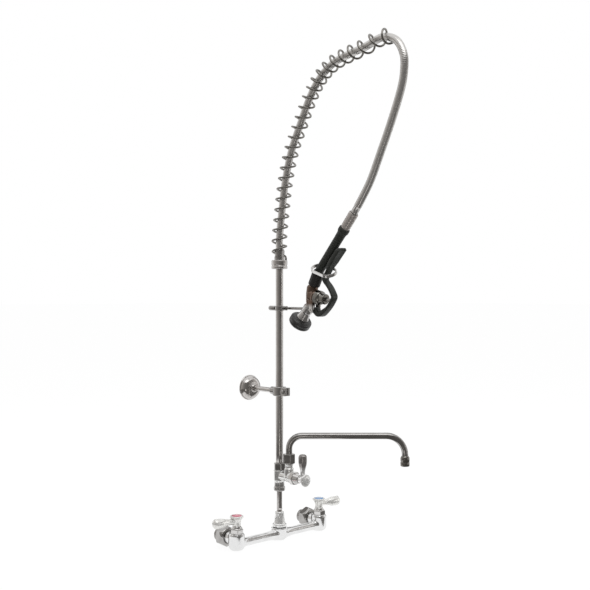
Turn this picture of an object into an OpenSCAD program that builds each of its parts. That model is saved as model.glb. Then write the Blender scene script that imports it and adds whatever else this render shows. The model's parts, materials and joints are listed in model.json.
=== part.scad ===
// Wall-mounted pre-rinse faucet: two-valve base, add-on faucet with swing spout,
// riser with wall bracket, sprung overhead hose and squeeze spray valve.
// Millimetres, +Z up, +Y into the wall. The origin is the midpoint between the
// back ends of the two inlets, which stand on the wall's supply nipples.

/* [Base] */
// Distance between the centres of the two inlets
inlet_spacing = 203.2; // [150:0.1:230]
// Distance from the inlets' back ends to the axis of the base
inlet_reach = 52; // [48:1:80]
// Diameter of each valve barrel
barrel_d = 29; // [27:0.5:34]
// How far a barrel reaches below the inlets
barrel_drop = 19; // [17:0.5:24]
// Diameter of the bar between the barrels
bar_d = 16; // [12:0.5:17]
// How far the bar's axis lies below the inlets
bar_drop = 7.5; // [4:0.5:9]
// Diameter of the boss in the middle of the bar
boss_d = 31; // [28:0.5:36]
// Across flats of the inlet nuts
inlet_nut_af = 34; // [32:0.5:38]
// Length of the inlet nuts
inlet_nut_h = 17; // [14:0.5:20]
// Diameter of the pipe thread inside each inlet
inlet_bore_d = 18.6; // [16:0.1:19]

/* [Handles] */
// Length of a lever from the hub's axis to its tip
lever_len = 47; // [42:1:60]
// Diameter of a lever's round end
lever_end_d = 15.5; // [13:0.5:17]
// Diameter of a lever beside its hub
lever_root_d = 9; // [8:0.5:11]
// Diameter of the hub's top
hub_d = 22.5; // [21:0.5:26]
// Height of the hub
hub_h = 17; // [15:0.5:20]
// Diameter of the coloured index button
index_d = 19; // [14:0.5:20]
// Diameter of the valve stems
stem_d = 8; // [7:0.25:9]
// Across flats of the valve bonnets
bonnet_af = 22; // [20:0.5:25]
// How far the two base levers are turned back and forward at rest
lever_toe = 9; // [0:1:20]

/* [Riser] */
// Outer diameter of the riser pipe
riser_d = 13.7; // [12:0.1:16]
// Wall of the riser pipe
riser_wall = 1.6; // [1:0.1:2.5]
// Length of the riser between the add-on faucet and the spring collar
riser_len = 362; // [300:2:600]
// Outer diameter of the short nipple below the add-on faucet
nipple_d = 10.3; // [9:0.1:12]
// Length of that nipple that shows
nipple_len = 38; // [28:1:60]
// Height of the bell that joins the nipple to the base
bell_h = 28; // [24:1:34]

/* [Add-on faucet] */
// Diameter of the add-on faucet's column
column_d = 21.5; // [20:0.5:25]
// Height of the column, without the riser nut
column_h = 39; // [36:1:50]
// Distance from the riser's axis to the spout's axis
spout_offset = 27; // [25:0.5:34]
// Distance from the riser's axis to the add-on handle's hub
addon_reach = 56.5; // [56.5:0.5:80]

/* [Spout] */
// Reach of the spout from its axis to the outlet
spout_reach = 214; // [150:1:360]
// Diameter of the spout tube
spout_d = 12; // [11:0.25:14]
// Height of the level stretch above the spout nut
spout_rise = 33; // [31:1:80]
// Radius of the bend at the foot of the spout
foot_bend_r = 24; // [20:1:28]
// Radius of the bend at the tip of the spout
tip_bend_r = 35; // [26:1:42]
// Diameter of the aerator
aerator_d = 17; // [16:0.5:20]
// Length of the aerator
aerator_h = 19; // [16:0.5:24]
// Direction of the spout at rest, turned from straight forward
spout_turn = 48; // [0:1:60]

/* [Wall bracket] */
// Height of the bracket above the add-on faucet's riser nut
bracket_rise = 134; // [60:1:200]
// Distance from the riser's axis to the wall
wall_reach = 90; // [80:1:150]
// Diameter of the wall flange
flange_d = 48.5; // [44:0.5:60]
// Depth of the domed wall flange
flange_depth = 19; // [16:0.5:24]
// Diameter of the bracket rod
rod_d = 9.6; // [8:0.2:11]
// Height of the clamp on the riser
clamp_h = 17; // [14:0.5:22]

/* [Hose and spring] */
// Outer diameter of the metal hose
hose_d = 13.4; // [11:0.2:14]
// Bore of the hose
hose_bore = 8; // [6:0.5:9]
// Number of ribs on the hose
hose_ribs = 178; // [60:1:180]
// Depth of each rib
rib_depth = 0.7; // [0.4:0.1:0.9]
// Outer diameter of the overhead spring
spring_d = 29.5; // [26:0.5:32]
// Diameter of the spring wire
wire_d = 3.6; // [2.4:0.1:3.8]
// Number of curls of the spring
curls = 26; // [18:1:30]
// Height of the collar under the spring
collar_h = 17; // [14:0.5:24]

/* [Spray valve] */
// Diameter of the grip
grip_d = 16; // [14:0.5:17]
// Length of the grip with its top collar
grip_len = 100; // [90:1:120]
// Lean of the grip from upright
grip_lean = 41.5; // [35:0.5:48]
// Lean of the valve body from upright
body_lean = 10; // [6:0.5:14]
// Lean of the spray head from upright
head_lean = 42; // [36:0.5:48]
// Length of the valve body
body_len = 37.5; // [37:0.5:44]
// Diameter of the valve body
body_d = 19; // [18:0.5:21]
// Length of the neck between the valve body and the bumper
neck_len = 31.5; // [30:0.5:40]
// Diameter of the rubber bumper round the spray face
bumper_d = 41; // [38:0.5:50]
// Thickness of that bumper
bumper_h = 15.5; // [13:0.5:18]
// Thickness of the squeeze lever
squeeze_t = 5; // [4:0.25:6]
// Width of the squeeze lever
squeeze_w = 13.5; // [12:0.5:14]
// Width of its finger pad, along the grip
pad_w = 16; // [14:0.5:18]

/* [Finger hook] */
// Diameter of the hook's rod
hook_d = 5.4; // [4:0.2:6]
// Distance that the rod reaches behind the riser's axis
hook_tail = 25; // [16:0.5:34]
// Length of the cap at that end
hook_cap_len = 18; // [10:0.5:20]

/* [Hidden] */

chrome = [0.78, 0.79, 0.80];
dark_chrome = [0.55, 0.55, 0.56];
brass = [0.72, 0.60, 0.34];
rubber = [0.13, 0.13, 0.13];
black_plastic = [0.16, 0.17, 0.16];

smooth = 64;          // facets on round bodies
fit = 0.05;           // radial clearance between pieces fixed to each other
run = 0.05;           // radial clearance between pieces that turn or slide
gap = 0.3;            // clearance between faces of pieces that move apart

// ---- heights and places, from the base upward ----
axis_y = -inlet_reach;
valve_x = inlet_spacing / 2;
barrel_top = 12;
boss_top = 5;
washer_t = 1.5;
bell_bottom = boss_top + washer_t;
nipple_bottom = bell_bottom + bell_h;
nipple_grip = 12;                       // how far a nipple is screwed in
column_bottom = nipple_bottom + nipple_len;
column_top = column_bottom + column_h;
riser_nut_h = 13;
riser_nut_top = column_top + riser_nut_h;
collar_bottom = riser_nut_top + riser_len;
collar_top = collar_bottom + collar_h;
riser_top = collar_bottom + collar_h - 4;
arm_d = 17;
arm_z = column_top - 7 - arm_d / 2 + 6;

// ---- the hose's route, as distance forward of the riser and height above the collar ----
hose_route = [[0, 0], [0, 20], [0, 40], [6, 84], [17, 146], [34, 200], [57, 243], [84, 290],
    [110, 320], [142, 339], [178, 347], [218, 352], [258, 360], [289, 349], [305, 323],
    [306, 296], [299, 266], [278.5, 218], [256, 172], [233.5, 128], [213, 98.5], [194, 74.5]];

// ---- spray valve, chained down from the hose's end in the hose's plane ----
function leaned(angle) = [sin(angle), cos(angle)];
hose_end = hose_route[len(hose_route) - 1] + [0, collar_top];
ferrule_len = 33;
grip_top_gap = 4;
coupling_h = 26;
coupling_lean = (grip_lean + body_lean) / 2 + 2;
coupling_lap = 1;                         // how far the coupling reaches over the body's top
body_shift = 3;                           // the body stands this far behind the coupling's axis
grip_foot = hose_end - (ferrule_len + grip_len) * leaned(grip_lean);
body_joint = grip_foot - (coupling_h - coupling_lap) * leaned(coupling_lean) - [body_shift, 0];
head_joint = body_joint - body_len * leaned(body_lean);
neck_nut_r = 9.2;
neck_nut_mid = 8.4;                       // from the head joint down the neck
neck_spot = head_joint - neck_nut_mid * leaned(head_lean);
hook_side = neck_nut_r + gap + hook_d / 2;
hook_z = neck_spot[1];
hook_reach = neck_spot[0] + 4;

// ---------------------------------------------------------------- helpers
// Points of an arc in a profile, from angle a0 to a1 round (cx, cy)
function arc(cx, cy, r, a0, a1, n = 6) =
    [for (i = [0:n]) [cx + r * cos(a0 + (a1 - a0) * i / n), cy + r * sin(a0 + (a1 - a0) * i / n)]];

module turned(points) rotate_extrude($fn = smooth) polygon(points);

module hex_nut(af, h, bore_r, chamfer = 1.2) {
    corner_r = af / sqrt(3);
    difference() {
        intersection() {
            cylinder(r = corner_r, h = h, $fn = 6);
            turned([[0, 0], [corner_r - chamfer, 0], [corner_r, chamfer * 0.6],
                [corner_r, h - chamfer * 0.6], [corner_r - chamfer, h], [0, h]]);
        }
        translate([0, 0, -1]) cylinder(r = bore_r, h = h + 2, $fn = smooth);
    }
}

module tube(outer_r, inner_r, h) difference() {
    cylinder(r = outer_r, h = h, $fn = smooth);
    translate([0, 0, -1]) cylinder(r = inner_r, h = h + 2, $fn = smooth);
}

module at_barrels() for (side = [-1, 1]) translate([side * valve_x, axis_y, 0]) children();
module at_axis(z = 0) translate([0, axis_y, z]) children();

// Local +Z leans forward by angle; local -Y then points forward and down
module in_plane(place, angle = 0) translate([0, axis_y - place[0], place[1]]) rotate([angle, 0, 0])
    children();

// ---------------------------------------------------------------- base
barrel_r = barrel_d / 2;
bore_r = 8;
stub_r = 11.5;
stub_len = inlet_reach - 18;
flare_r = 11;
waterway_r = 4;

// Half of the bar as a turned arm: flared at the boss, slim, flared at the barrel
arm_inner = boss_d / 2 - 5;
arm_outer = valve_x - barrel_r + 4;
flare_inner = 24;
flare_outer = 12;
function flare(t) = bar_d / 2 + (flare_r - bar_d / 2) * pow(1 - t, 2);
arm_points = concat([[0, arm_inner]],
    [for (i = [0:6]) [flare(i / 6), arm_inner + flare_inner * i / 6]],
    [for (i = [6:-1:0]) [flare(i / 6), arm_outer - flare_outer * i / 6]],
    [[0, arm_outer]]);
module bar_arm() rotate([0, 90, 0]) turned(arm_points);

module barrel() turned(concat([[0, -barrel_drop]],
    arc(barrel_r - 8, -barrel_drop + 8, 8, -90, 0),
    [[barrel_r, barrel_top - 3], [barrel_r - 1.5, barrel_top - 1.5], [barrel_r - 1.5, barrel_top],
    [0, barrel_top]]));

module centre_boss() turned(concat([[0, -bar_drop - flare_r]],
    arc(boss_d / 2 - 9, -bar_drop - flare_r + 7, 7, -90, 0),
    [[boss_d / 2 - 2, boss_top - 5], [boss_d / 2, boss_top - 3], [boss_d / 2, boss_top - 0.8],
    [boss_d / 2 - 0.8, boss_top], [0, boss_top]]));

module base_body() color(chrome) difference() {
    union() {
        at_barrels() {
            barrel();
            rotate([-90, 0, 0]) cylinder(r = stub_r, h = stub_len, $fn = smooth);
        }
        at_axis() centre_boss();
        for (side = [0, 180]) at_axis(-bar_drop) rotate([0, 0, side]) bar_arm();
    }
    at_barrels() {
        translate([0, 0, -bore_r]) cylinder(r = bore_r, h = barrel_top + bore_r + 1, $fn = smooth);
        rotate([-90, 0, 0]) cylinder(r = 6.5, h = stub_len + 1, $fn = smooth);
    }
    at_axis(-bar_drop) rotate([0, 90, 0]) translate([0, 0, -valve_x])
        cylinder(r = waterway_r, h = 2 * valve_x, $fn = smooth);
    at_axis(-bar_drop) cylinder(r = 8, h = bar_drop + boss_top + 1, $fn = smooth);
}

nut_front = stub_len - inlet_nut_h + 5;
washer_y = stub_len;
module inlet_nuts() color(chrome) at_barrels() translate([0, nut_front, 0]) rotate([-90, 30, 0])
    hex_nut(inlet_nut_af, inlet_nut_h, stub_r + fit, 2);

module inlet_washers() color(rubber) at_barrels() translate([0, washer_y, 0]) rotate([-90, 0, 0])
    tube(stub_r - 0.5, 7, washer_t);

tail_front = washer_y + washer_t;
module inlet_tails() color(dark_chrome) at_barrels() translate([0, tail_front, 0]) rotate([-90, 0, 0])
    difference() {
        turned([[0, 0], [stub_r - 0.5, 0], [stub_r - 0.5, nut_front + inlet_nut_h - tail_front + gap],
            [stub_r + 0.8, nut_front + inlet_nut_h - tail_front + gap],
            [stub_r + 0.8, inlet_reach - tail_front - 0.8], [stub_r, inlet_reach - tail_front],
            [0, inlet_reach - tail_front]]);
        translate([0, 0, 3]) cylinder(d = inlet_bore_d, h = inlet_reach, $fn = smooth);
        translate([0, 0, -1]) cylinder(r = 6.5, h = inlet_reach, $fn = smooth);
    }

stem_r = stem_d / 2;
bonnet_top = 25;
module bonnet(af, seat, top) difference() {
    union() {
        hex_nut(af, 8, stem_r + run);
        translate([0, 0, 7]) turned([[0, 0], [af / 2 - 1.5, 0], [af / 2 - 1.5, 2],
            [af / 2 - 3.5, top - seat - 7.6], [af / 2 - 4.1, top - seat - 7], [0, top - seat - 7]]);
        translate([0, 0, -9]) cylinder(r = bore_r - fit, h = 9.5, $fn = smooth);
    }
    translate([0, 0, -10]) cylinder(r = stem_r + run, h = top + 10, $fn = smooth);
}
module valve_bonnets() color(chrome) at_barrels() translate([0, 0, barrel_top])
    bonnet(bonnet_af, barrel_top, bonnet_top);

// ---------------------------------------------------------------- handles
hub_bottom = bonnet_top + gap;
hub_foot_r = 6.4;
index_t = 2.6;
lever_mid = 7.8;
socket_h = 9;

// Hub round +Z, lever along +X
module lever() difference() {
    union() {
        turned(concat([[0, 0], [hub_foot_r - 0.6, 0], [hub_foot_r, 0.6], [hub_foot_r, 3]],
            [for (i = [1:6]) [hub_foot_r + (hub_d / 2 - hub_foot_r) * (1 - cos(90 * i / 6)),
                3 + (hub_h - 5.5) * sin(90 * i / 6)]],
            [[hub_d / 2, hub_h - 0.8], [hub_d / 2 - 0.8, hub_h], [0, hub_h]]));
        translate([0, 0, lever_mid]) rotate([0, 90, 0]) turned(concat([[0, 2], [lever_root_d / 2, 2]],
            [[lever_root_d / 2, lever_len * 0.3]],
            [for (i = [1:8]) [lever_root_d / 2 + (lever_end_d - lever_root_d) / 2 * (1 - cos(180 * i / 8)) / 2,
                lever_len * (0.3 + 0.42 * i / 8)]],
            arc(lever_end_d / 2 - 6, lever_len - 6, 6, 0, 90),
            [[0, lever_len]]));
        translate([lever_len - 4, 0, lever_mid + lever_end_d / 2 - 1.2]) sphere(r = 2, $fn = smooth);
    }
    translate([0, 0, hub_h - index_t + 0.6]) cylinder(r = index_d / 2 + fit, h = index_t, $fn = smooth);
    translate([0, 0, -1]) cylinder(r = stem_r + fit, h = socket_h + 1, $fn = smooth);
    translate([0, 0, -1]) cylinder(r = 2 + fit, h = hub_h + 2, $fn = smooth);
    translate([0, 0, hub_h - index_t - 2]) cylinder(r = 3.6 + fit, h = 4, $fn = smooth);
}
module index_button() translate([0, 0, hub_h - index_t + 0.6])
    turned([[0, 0], [index_d / 2, 0], [index_d / 2, index_t - 0.6], [index_d / 2 - 1, index_t],
        [index_d / 4, index_t + 0.5], [0, index_t + 0.6]]);
module handle_screw() difference() {
    union() {
        translate([0, 0, hub_h - index_t - 2]) cylinder(r = 3.6, h = 2, $fn = smooth);
        translate([0, 0, 3]) cylinder(r = 2, h = hub_h - index_t - 4, $fn = smooth);
    }
    translate([-3, -0.5, hub_h - index_t - 0.8]) cube([6, 1, 2]);
}
stem_below = 20;
module stem() difference() {
    translate([0, 0, -stem_below]) cylinder(r = stem_r, h = stem_below + socket_h, $fn = smooth);
    translate([0, 0, 3]) cylinder(r = 2 + fit, h = socket_h, $fn = smooth);
}

module hot_place() translate([-valve_x, axis_y, hub_bottom]) rotate([0, 0, 180 - lever_toe]) children();
module cold_place() translate([valve_x, axis_y, hub_bottom]) rotate([0, 0, -lever_toe]) children();
module addon_place() translate([0, axis_y - addon_reach, arm_z]) rotate([90, 0, 0]) rotate([0, 0, 90])
    children();

module hot_lever() color(chrome) hot_place() lever();
module hot_index() color([0.62, 0.12, 0.20]) hot_place() index_button();
module hot_screw() color(brass) hot_place() handle_screw();
module hot_stem() color(brass) hot_place() stem();
module cold_lever() color(chrome) cold_place() lever();
module cold_index() color([0.14, 0.30, 0.52]) cold_place() index_button();
module cold_screw() color(brass) cold_place() handle_screw();
module cold_stem() color(brass) cold_place() stem();
module addon_lever() color(chrome) addon_place() lever();
module addon_index() color(dark_chrome) addon_place() index_button();
module addon_screw() color(brass) addon_place() handle_screw();
module addon_stem() color(brass) addon_place() stem();

// ---------------------------------------------------------------- bell, nipple and riser
nipple_r = nipple_d / 2;
riser_r = riser_d / 2;
bell_top_r = 8.6;
bell_foot_r = 13;
bell_spigot = 8;
module riser_bell() color(chrome) at_axis() difference() {
    union() {
        turned(concat([[0, bell_bottom], [bell_foot_r, bell_bottom], [bell_foot_r, bell_bottom + 4.5],
            [bell_foot_r - 0.8, bell_bottom + 5.3], [bell_foot_r - 2, bell_bottom + 5.8]],
            [for (i = [0:5]) [bell_top_r + (bell_foot_r - 2.2 - bell_top_r) * (1 - sin(90 * i / 5)),
                bell_bottom + 6.5 + (bell_h - 11) * i / 5]],
            arc(bell_top_r - 3, nipple_bottom - 3, 3, 0, 90, 4),
            [[0, nipple_bottom]]));
        translate([0, 0, bell_bottom - bell_spigot]) cylinder(r = 8 - fit, h = bell_spigot + 1, $fn = smooth);
    }
    translate([0, 0, nipple_bottom - nipple_grip])
        cylinder(r = nipple_r + fit, h = nipple_grip + 1, $fn = smooth);
    translate([0, 0, bell_bottom - bell_spigot - 1])
        cylinder(r = 3.6, h = bell_h + bell_spigot, $fn = smooth);
}
module bell_washer() color(rubber) at_axis(boss_top) tube(boss_d / 2 - 3.5, 8 + fit, washer_t);
module lower_nipple() color(chrome) at_axis(nipple_bottom - nipple_grip)
    tube(nipple_r, nipple_r - 1.6, nipple_len + 2 * nipple_grip);

column_r = column_d / 2;
seat_r = 7.4;
seat_top = riser_nut_top + 9;
arm_r = arm_d / 2;
arm_end = addon_reach - 20;
module addon_body() color(chrome) at_axis() difference() {
    union() {
        turned([[0, column_bottom], [column_r - 1.5, column_bottom], [column_r, column_bottom + 1.5],
            [column_r, column_bottom + 7], [column_r - 1.2, column_bottom + 8.5],
            [column_r - 1.2, column_top - 22], [column_r, column_top - 19],
            [column_r, column_top - 0.6], [column_r - 0.6, column_top], [0, column_top]]);
        translate([0, 0, arm_z]) rotate([90, 0, 0]) turned([[0, 0], [arm_r, 0], [arm_r, arm_end - 6],
            [arm_r + 2, arm_end - 4], [arm_r + 2, arm_end], [0, arm_end]]);
        translate([0, -spout_offset, arm_z]) sphere(r = arm_r + 1.2, $fn = smooth);
        translate([0, -spout_offset, 0]) turned([[0, arm_z], [seat_r + 1.6, arm_z],
            [seat_r + 1.6, column_top + 6], [seat_r, column_top + 8],
            [seat_r, column_top + 12], [seat_r + 0.9, column_top + 13], [seat_r + 0.9, column_top + 14.5],
            [seat_r, column_top + 15.5], [seat_r, seat_top], [0, seat_top]]);
    }
    translate([0, 0, column_bottom - 1]) cylinder(r = nipple_r + fit, h = nipple_grip + 1, $fn = smooth);
    translate([0, 0, column_top - 14]) cylinder(r = riser_r + fit, h = 16, $fn = smooth);
    cylinder(r = 3.6, h = column_top, $fn = smooth);
    translate([0, 0, arm_z]) rotate([90, 0, 0]) cylinder(r = waterway_r, h = arm_end + 1, $fn = smooth);
    translate([0, 0, arm_z]) rotate([90, 0, 0]) translate([0, 0, arm_end - 10])
        cylinder(r = bore_r - 1.5 + fit, h = 11, $fn = smooth);
    translate([0, -spout_offset, arm_z]) cylinder(r = waterway_r, h = 60, $fn = smooth);
    translate([0, -spout_offset, spout_foot - gap]) cylinder(r = spout_r + run, h = 60, $fn = smooth);
}

// The add-on valve's bonnet lies along the arm and stops short of the hub
addon_bonnet_len = 20 - gap;
module addon_bonnet() color(chrome) at_axis(arm_z) rotate([90, 0, 0]) translate([0, 0, arm_end])
    difference() {
    union() {
        hex_nut(bonnet_af, 9, stem_r + run);
        turned([[0, 8], [bonnet_af / 2 - 1.5, 8], [bonnet_af / 2 - 1.5, 10],
            [bonnet_af / 2 - 3.5, addon_bonnet_len - 0.6], [bonnet_af / 2 - 4.1, addon_bonnet_len],
            [0, addon_bonnet_len]]);
        translate([0, 0, -9]) cylinder(r = bore_r - 1.5, h = 9.5, $fn = smooth);
    }
    translate([0, 0, -10]) cylinder(r = stem_r + run, h = 40, $fn = smooth);
}

module riser_nut() color(dark_chrome) at_axis(column_top)
    hex_nut(19, riser_nut_h, riser_r + fit, 1.4);
module riser_pipe() color(chrome) at_axis(column_top - 13)
    tube(riser_r, riser_r - riser_wall, riser_top - column_top + 13);

// ---------------------------------------------------------------- spout
spout_r = spout_d / 2;
spout_foot = column_top + 2;
spout_nut_bottom = riser_nut_top + 9;
spout_nut_h = 11.5;
spout_nut_top = spout_nut_bottom + spout_nut_h;
spout_level = spout_nut_top + spout_rise;
spout_bore_r = spout_r - 1.2;
module spout_place() translate([0, axis_y - spout_offset, 0]) rotate([0, 0, spout_turn - 90]) children();

// The tube's foot rises on +Z, runs level along +X and turns down at the tip
module spout_run(r, ends = 0) {
    translate([0, 0, spout_foot - ends])
        cylinder(r = r, h = spout_level - foot_bend_r - spout_foot + ends, $fn = smooth);
    translate([foot_bend_r, 0, spout_level - foot_bend_r]) rotate([90, 0, 0])
        rotate_extrude(angle = 90, start = 90, $fn = smooth) translate([foot_bend_r, 0])
            circle(r = r, $fn = smooth);
    translate([foot_bend_r, 0, spout_level]) rotate([0, 90, 0])
        cylinder(r = r, h = spout_reach - foot_bend_r - tip_bend_r, $fn = smooth);
    translate([spout_reach - tip_bend_r, 0, spout_level - tip_bend_r]) rotate([90, 0, 0])
        rotate_extrude(angle = 90, start = 0, $fn = smooth) translate([tip_bend_r, 0])
            circle(r = r, $fn = smooth);
    translate([spout_reach, 0, spout_level - tip_bend_r - tip_len - ends])
        cylinder(r = r, h = tip_len + ends, $fn = smooth);
}
tip_len = 10;
aerator_top = spout_level - tip_bend_r - 2;
module spout_tube() color(chrome) spout_place() difference() {
    union() {
        spout_run(spout_r);
        translate([0, 0, spout_nut_bottom + gap]) cylinder(r = spout_r + 1.6, h = 3, $fn = smooth);
    }
    spout_run(spout_bore_r, 1);
    for (z = o_ring_z) translate([0, 0, z]) difference() {
        cylinder(r = spout_r + 1, h = o_ring_t + 0.2, $fn = smooth);
        translate([0, 0, -1]) cylinder(r = spout_r - 0.8, h = o_ring_t + 2.2, $fn = smooth);
    }
}
o_ring_t = 1.8;
o_ring_z = [spout_foot + 3, spout_foot + 9];
module spout_o_rings() color(rubber) spout_place() for (z = o_ring_z) translate([0, 0, z + 0.1])
    tube(spout_r - 0.05, spout_r - 0.8 + 0.02, o_ring_t);

// The nut turns down over the seat and traps the tube's collar
module spout_nut() color(chrome) at_axis() translate([0, -spout_offset, spout_nut_bottom]) difference() {
    translate([0, 0, -6]) hex_nut(20, spout_nut_h + 6, spout_r + run, 1.4);
    translate([0, 0, -7]) cylinder(r = seat_r + fit, h = 7, $fn = smooth);
    translate([0, 0, -0.1]) cylinder(r = spout_r + 1.6 + run, h = 3 + 2 * gap + 0.1, $fn = smooth);
}

aerator_r = aerator_d / 2;
module aerator_shell() color(chrome) spout_place()
    translate([spout_reach, 0, aerator_top - aerator_h]) difference() {
    turned([[0, 0], [aerator_r - 1, 0], [aerator_r, 1], [aerator_r, 7], [aerator_r - 0.6, 7.6],
        [aerator_r - 0.6, 8.4], [aerator_r, 9], [aerator_r, aerator_h - 4], [aerator_r - 1.6, aerator_h - 1],
        [spout_r + 0.8, aerator_h], [0, aerator_h]]);
    translate([0, 0, aerator_h - 8]) cylinder(r = spout_r + fit, h = 10, $fn = smooth);
    translate([0, 0, -1]) cylinder(r = aerator_r - 2.2, h = aerator_h - 8, $fn = smooth);
    translate([0, 0, 5]) cylinder(r = spout_r - 1.2, h = aerator_h, $fn = smooth);
}
screen_hole_r = 0.8;
module aerator_screen() color(dark_chrome) spout_place()
    translate([spout_reach, 0, aerator_top - aerator_h + 1.2])
    difference() {
        cylinder(r = aerator_r - 2.2 - fit, h = 1.6, $fn = smooth);
        for (a = [0:60:300]) rotate([0, 0, a]) translate([2.1, 0, -1])
            cylinder(r = screen_hole_r, h = 4, $fn = 16);
        for (a = [0:30:330]) rotate([0, 0, a]) translate([4.4, 0, -1])
            cylinder(r = screen_hole_r, h = 4, $fn = 16);
        translate([0, 0, -1]) cylinder(r = screen_hole_r, h = 4, $fn = 16);
    }

// ---------------------------------------------------------------- wall bracket
bracket_z = riser_nut_top + bracket_rise;
clamp_r = riser_r + 5.8;
lug_len = 22;
lug_w = 13;
rod_r = rod_d / 2;
socket_r = rod_r + 2.6;
slit_w = 1.6;
screw_y = riser_r + 9;
module bracket_clamp() color(chrome) at_axis(bracket_z) difference() {
    union() {
        translate([0, 0, -clamp_h / 2]) turned([[0, 0], [clamp_r - 1, 0], [clamp_r, 1],
            [clamp_r, clamp_h - 1], [clamp_r - 1, clamp_h], [0, clamp_h]]);
        rotate([-90, 0, 0]) turned([[0, 0], [socket_r, 0], [socket_r, 21], [socket_r - 1, 22], [0, 22]]);
        translate([-lug_w / 2, -lug_len, -clamp_h / 2 + 1]) cube([lug_w, lug_len, clamp_h - 2]);
    }
    translate([0, 0, -clamp_h]) cylinder(r = riser_r + fit, h = 2 * clamp_h, $fn = smooth);
    translate([0, clamp_r + 1, 0]) rotate([-90, 0, 0]) cylinder(r = rod_r + fit, h = 20, $fn = smooth);
    translate([-slit_w / 2, -lug_len - 1, -clamp_h]) cube([slit_w, lug_len, 2 * clamp_h]);
    translate([-lug_w, -screw_y, 0]) rotate([0, 90, 0]) cylinder(r = 2.5 + fit, h = 2 * lug_w, $fn = smooth);
}
module bracket_screw() color(dark_chrome) at_axis(bracket_z) translate([0, -screw_y, 0]) rotate([0, -90, 0])
    difference() {
        union() {
            translate([0, 0, -lug_w / 2 - 3]) cylinder(r = 2.5, h = lug_w + 3.2, $fn = smooth);
            translate([0, 0, lug_w / 2]) turned([[0, 0], [4.6, 0], [4.6, 2.6], [3.8, 3.6], [0, 3.6]]);
        }
        translate([-0.6, -5, lug_w / 2 + 2.2]) cube([1.2, 10, 3]);
    }
rod_front = clamp_r + 1.3;
module bracket_rod() color(chrome) at_axis(bracket_z) translate([0, rod_front, 0]) rotate([-90, 0, 0])
    cylinder(r = rod_r, h = wall_reach - flange_depth + rod_socket - 0.2 - rod_front, $fn = smooth);
flange_r = flange_d / 2;
flange_neck_r = rod_r + 2.4;
rod_socket = 8.5;
wall_bolt_r = 3.3;
wall_bolt_depth = 9;
module bracket_flange() color(chrome) at_axis(bracket_z) translate([0, wall_reach, 0]) rotate([90, 0, 0])
    difference() {
        turned(concat([[0, 0], [flange_r, 0], [flange_r, 2.5], [flange_r - 0.8, 3.3]],
            [for (i = [1:7]) [flange_neck_r + (flange_r - 1.4 - flange_neck_r) * cos(90 * i / 7),
                3.4 + (flange_depth - 7) * sin(90 * i / 7)]],
            [[flange_neck_r, flange_depth - 1], [flange_neck_r - 1, flange_depth], [0, flange_depth]]));
        translate([0, 0, flange_depth - rod_socket]) cylinder(r = rod_r + fit, h = 10, $fn = smooth);
        translate([0, 0, -1]) cylinder(r = wall_bolt_r, h = wall_bolt_depth + 1, $fn = smooth);
    }

// ---------------------------------------------------------------- finger hook
strap_r = riser_r + 1.6;
strap_h = 9;
hook_r = hook_d / 2;
module hook_clamp() color(chrome) at_axis(hook_z) difference() {
    union() {
        translate([0, 0, -strap_h / 2]) cylinder(r = strap_r, h = strap_h, $fn = smooth);
        translate([hook_side, 7, 0]) rotate([90, 0, 0]) cylinder(r = hook_r + 1.5, h = 14, $fn = smooth);
        translate([riser_r, -4, -3]) cube([hook_side - riser_r, 8, 6]);
    }
    translate([0, 0, -strap_h]) cylinder(r = riser_r + fit, h = 2 * strap_h, $fn = smooth);
    translate([hook_side, 10, 0]) rotate([90, 0, 0]) cylinder(r = hook_r + fit, h = 20, $fn = smooth);
    translate([hook_side, 0, 0]) rotate([0, 90, 0]) cylinder(r = 1.5 + fit, h = 10, $fn = smooth);
}
module hook_screw() color(dark_chrome) at_axis(hook_z) translate([hook_side + hook_r + fit, 0, 0])
    rotate([0, 90, 0])
    difference() {
        cylinder(r = 1.5, h = 3, $fn = smooth);
        translate([0, 0, 1.8]) cylinder(r = 0.8, h = 2, $fn = 6);
    }
// Straight finger beside the riser and the valve's neck, with a ball at its tip
module hook_rod() color(chrome) at_axis(hook_z) translate([hook_side, 0, 0]) {
    translate([0, hook_tail + hook_in_cap, 0]) rotate([90, 0, 0])
        cylinder(r = hook_r, h = hook_reach + hook_tail + hook_in_cap, $fn = smooth);
    translate([0, -hook_reach, 0]) sphere(r = hook_r + 0.5, $fn = smooth);
}
hook_in_cap = 6;
cap_r = hook_r + 1.8;
cap_round = 3;
module hook_cap() color(chrome) at_axis(hook_z) translate([hook_side, hook_tail, 0])
    rotate([-90, 0, 0]) difference() {
    turned(concat([[0, 0], [cap_r - 0.6, 0], [cap_r, 0.6], [cap_r, hook_cap_len - cap_round]],
        arc(cap_r - cap_round, hook_cap_len - cap_round, cap_round, 0, 90, 4), [[0, hook_cap_len]]));
    translate([0, 0, -1]) cylinder(r = hook_r + fit, h = hook_in_cap + 1.2, $fn = smooth);
}

// ---------------------------------------------------------------- hose and spring
// Smooth curve through the route's points
function blend(a, b, c, d, t) = 0.5 * (2 * b + (c - a) * t + (2 * a - 5 * b + 4 * c - d) * t * t
    + (3 * b - a - 3 * c + d) * t * t * t);
route_n = len(hose_route);
route_steps = 8;
function route_point(i, t) = blend(
    i == 0 ? 2 * hose_route[0] - hose_route[1] : hose_route[i - 1], hose_route[i], hose_route[i + 1],
    i + 2 < route_n ? hose_route[i + 2] : 2 * hose_route[i + 1] - hose_route[i], t);
curve = concat([for (i = [0:route_n - 2]) for (j = [0:route_steps - 1]) route_point(i, j / route_steps)],
    [hose_route[route_n - 1]]);
curve_run = [for (i = 0, s = 0; i < len(curve); s = s + (i + 1 < len(curve) ? norm(curve[i + 1] - curve[i]) : 0),
    i = i + 1) s];
forward_at = [for (i = [0:len(curve) - 1]) [curve_run[i], curve[i][0]]];
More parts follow.
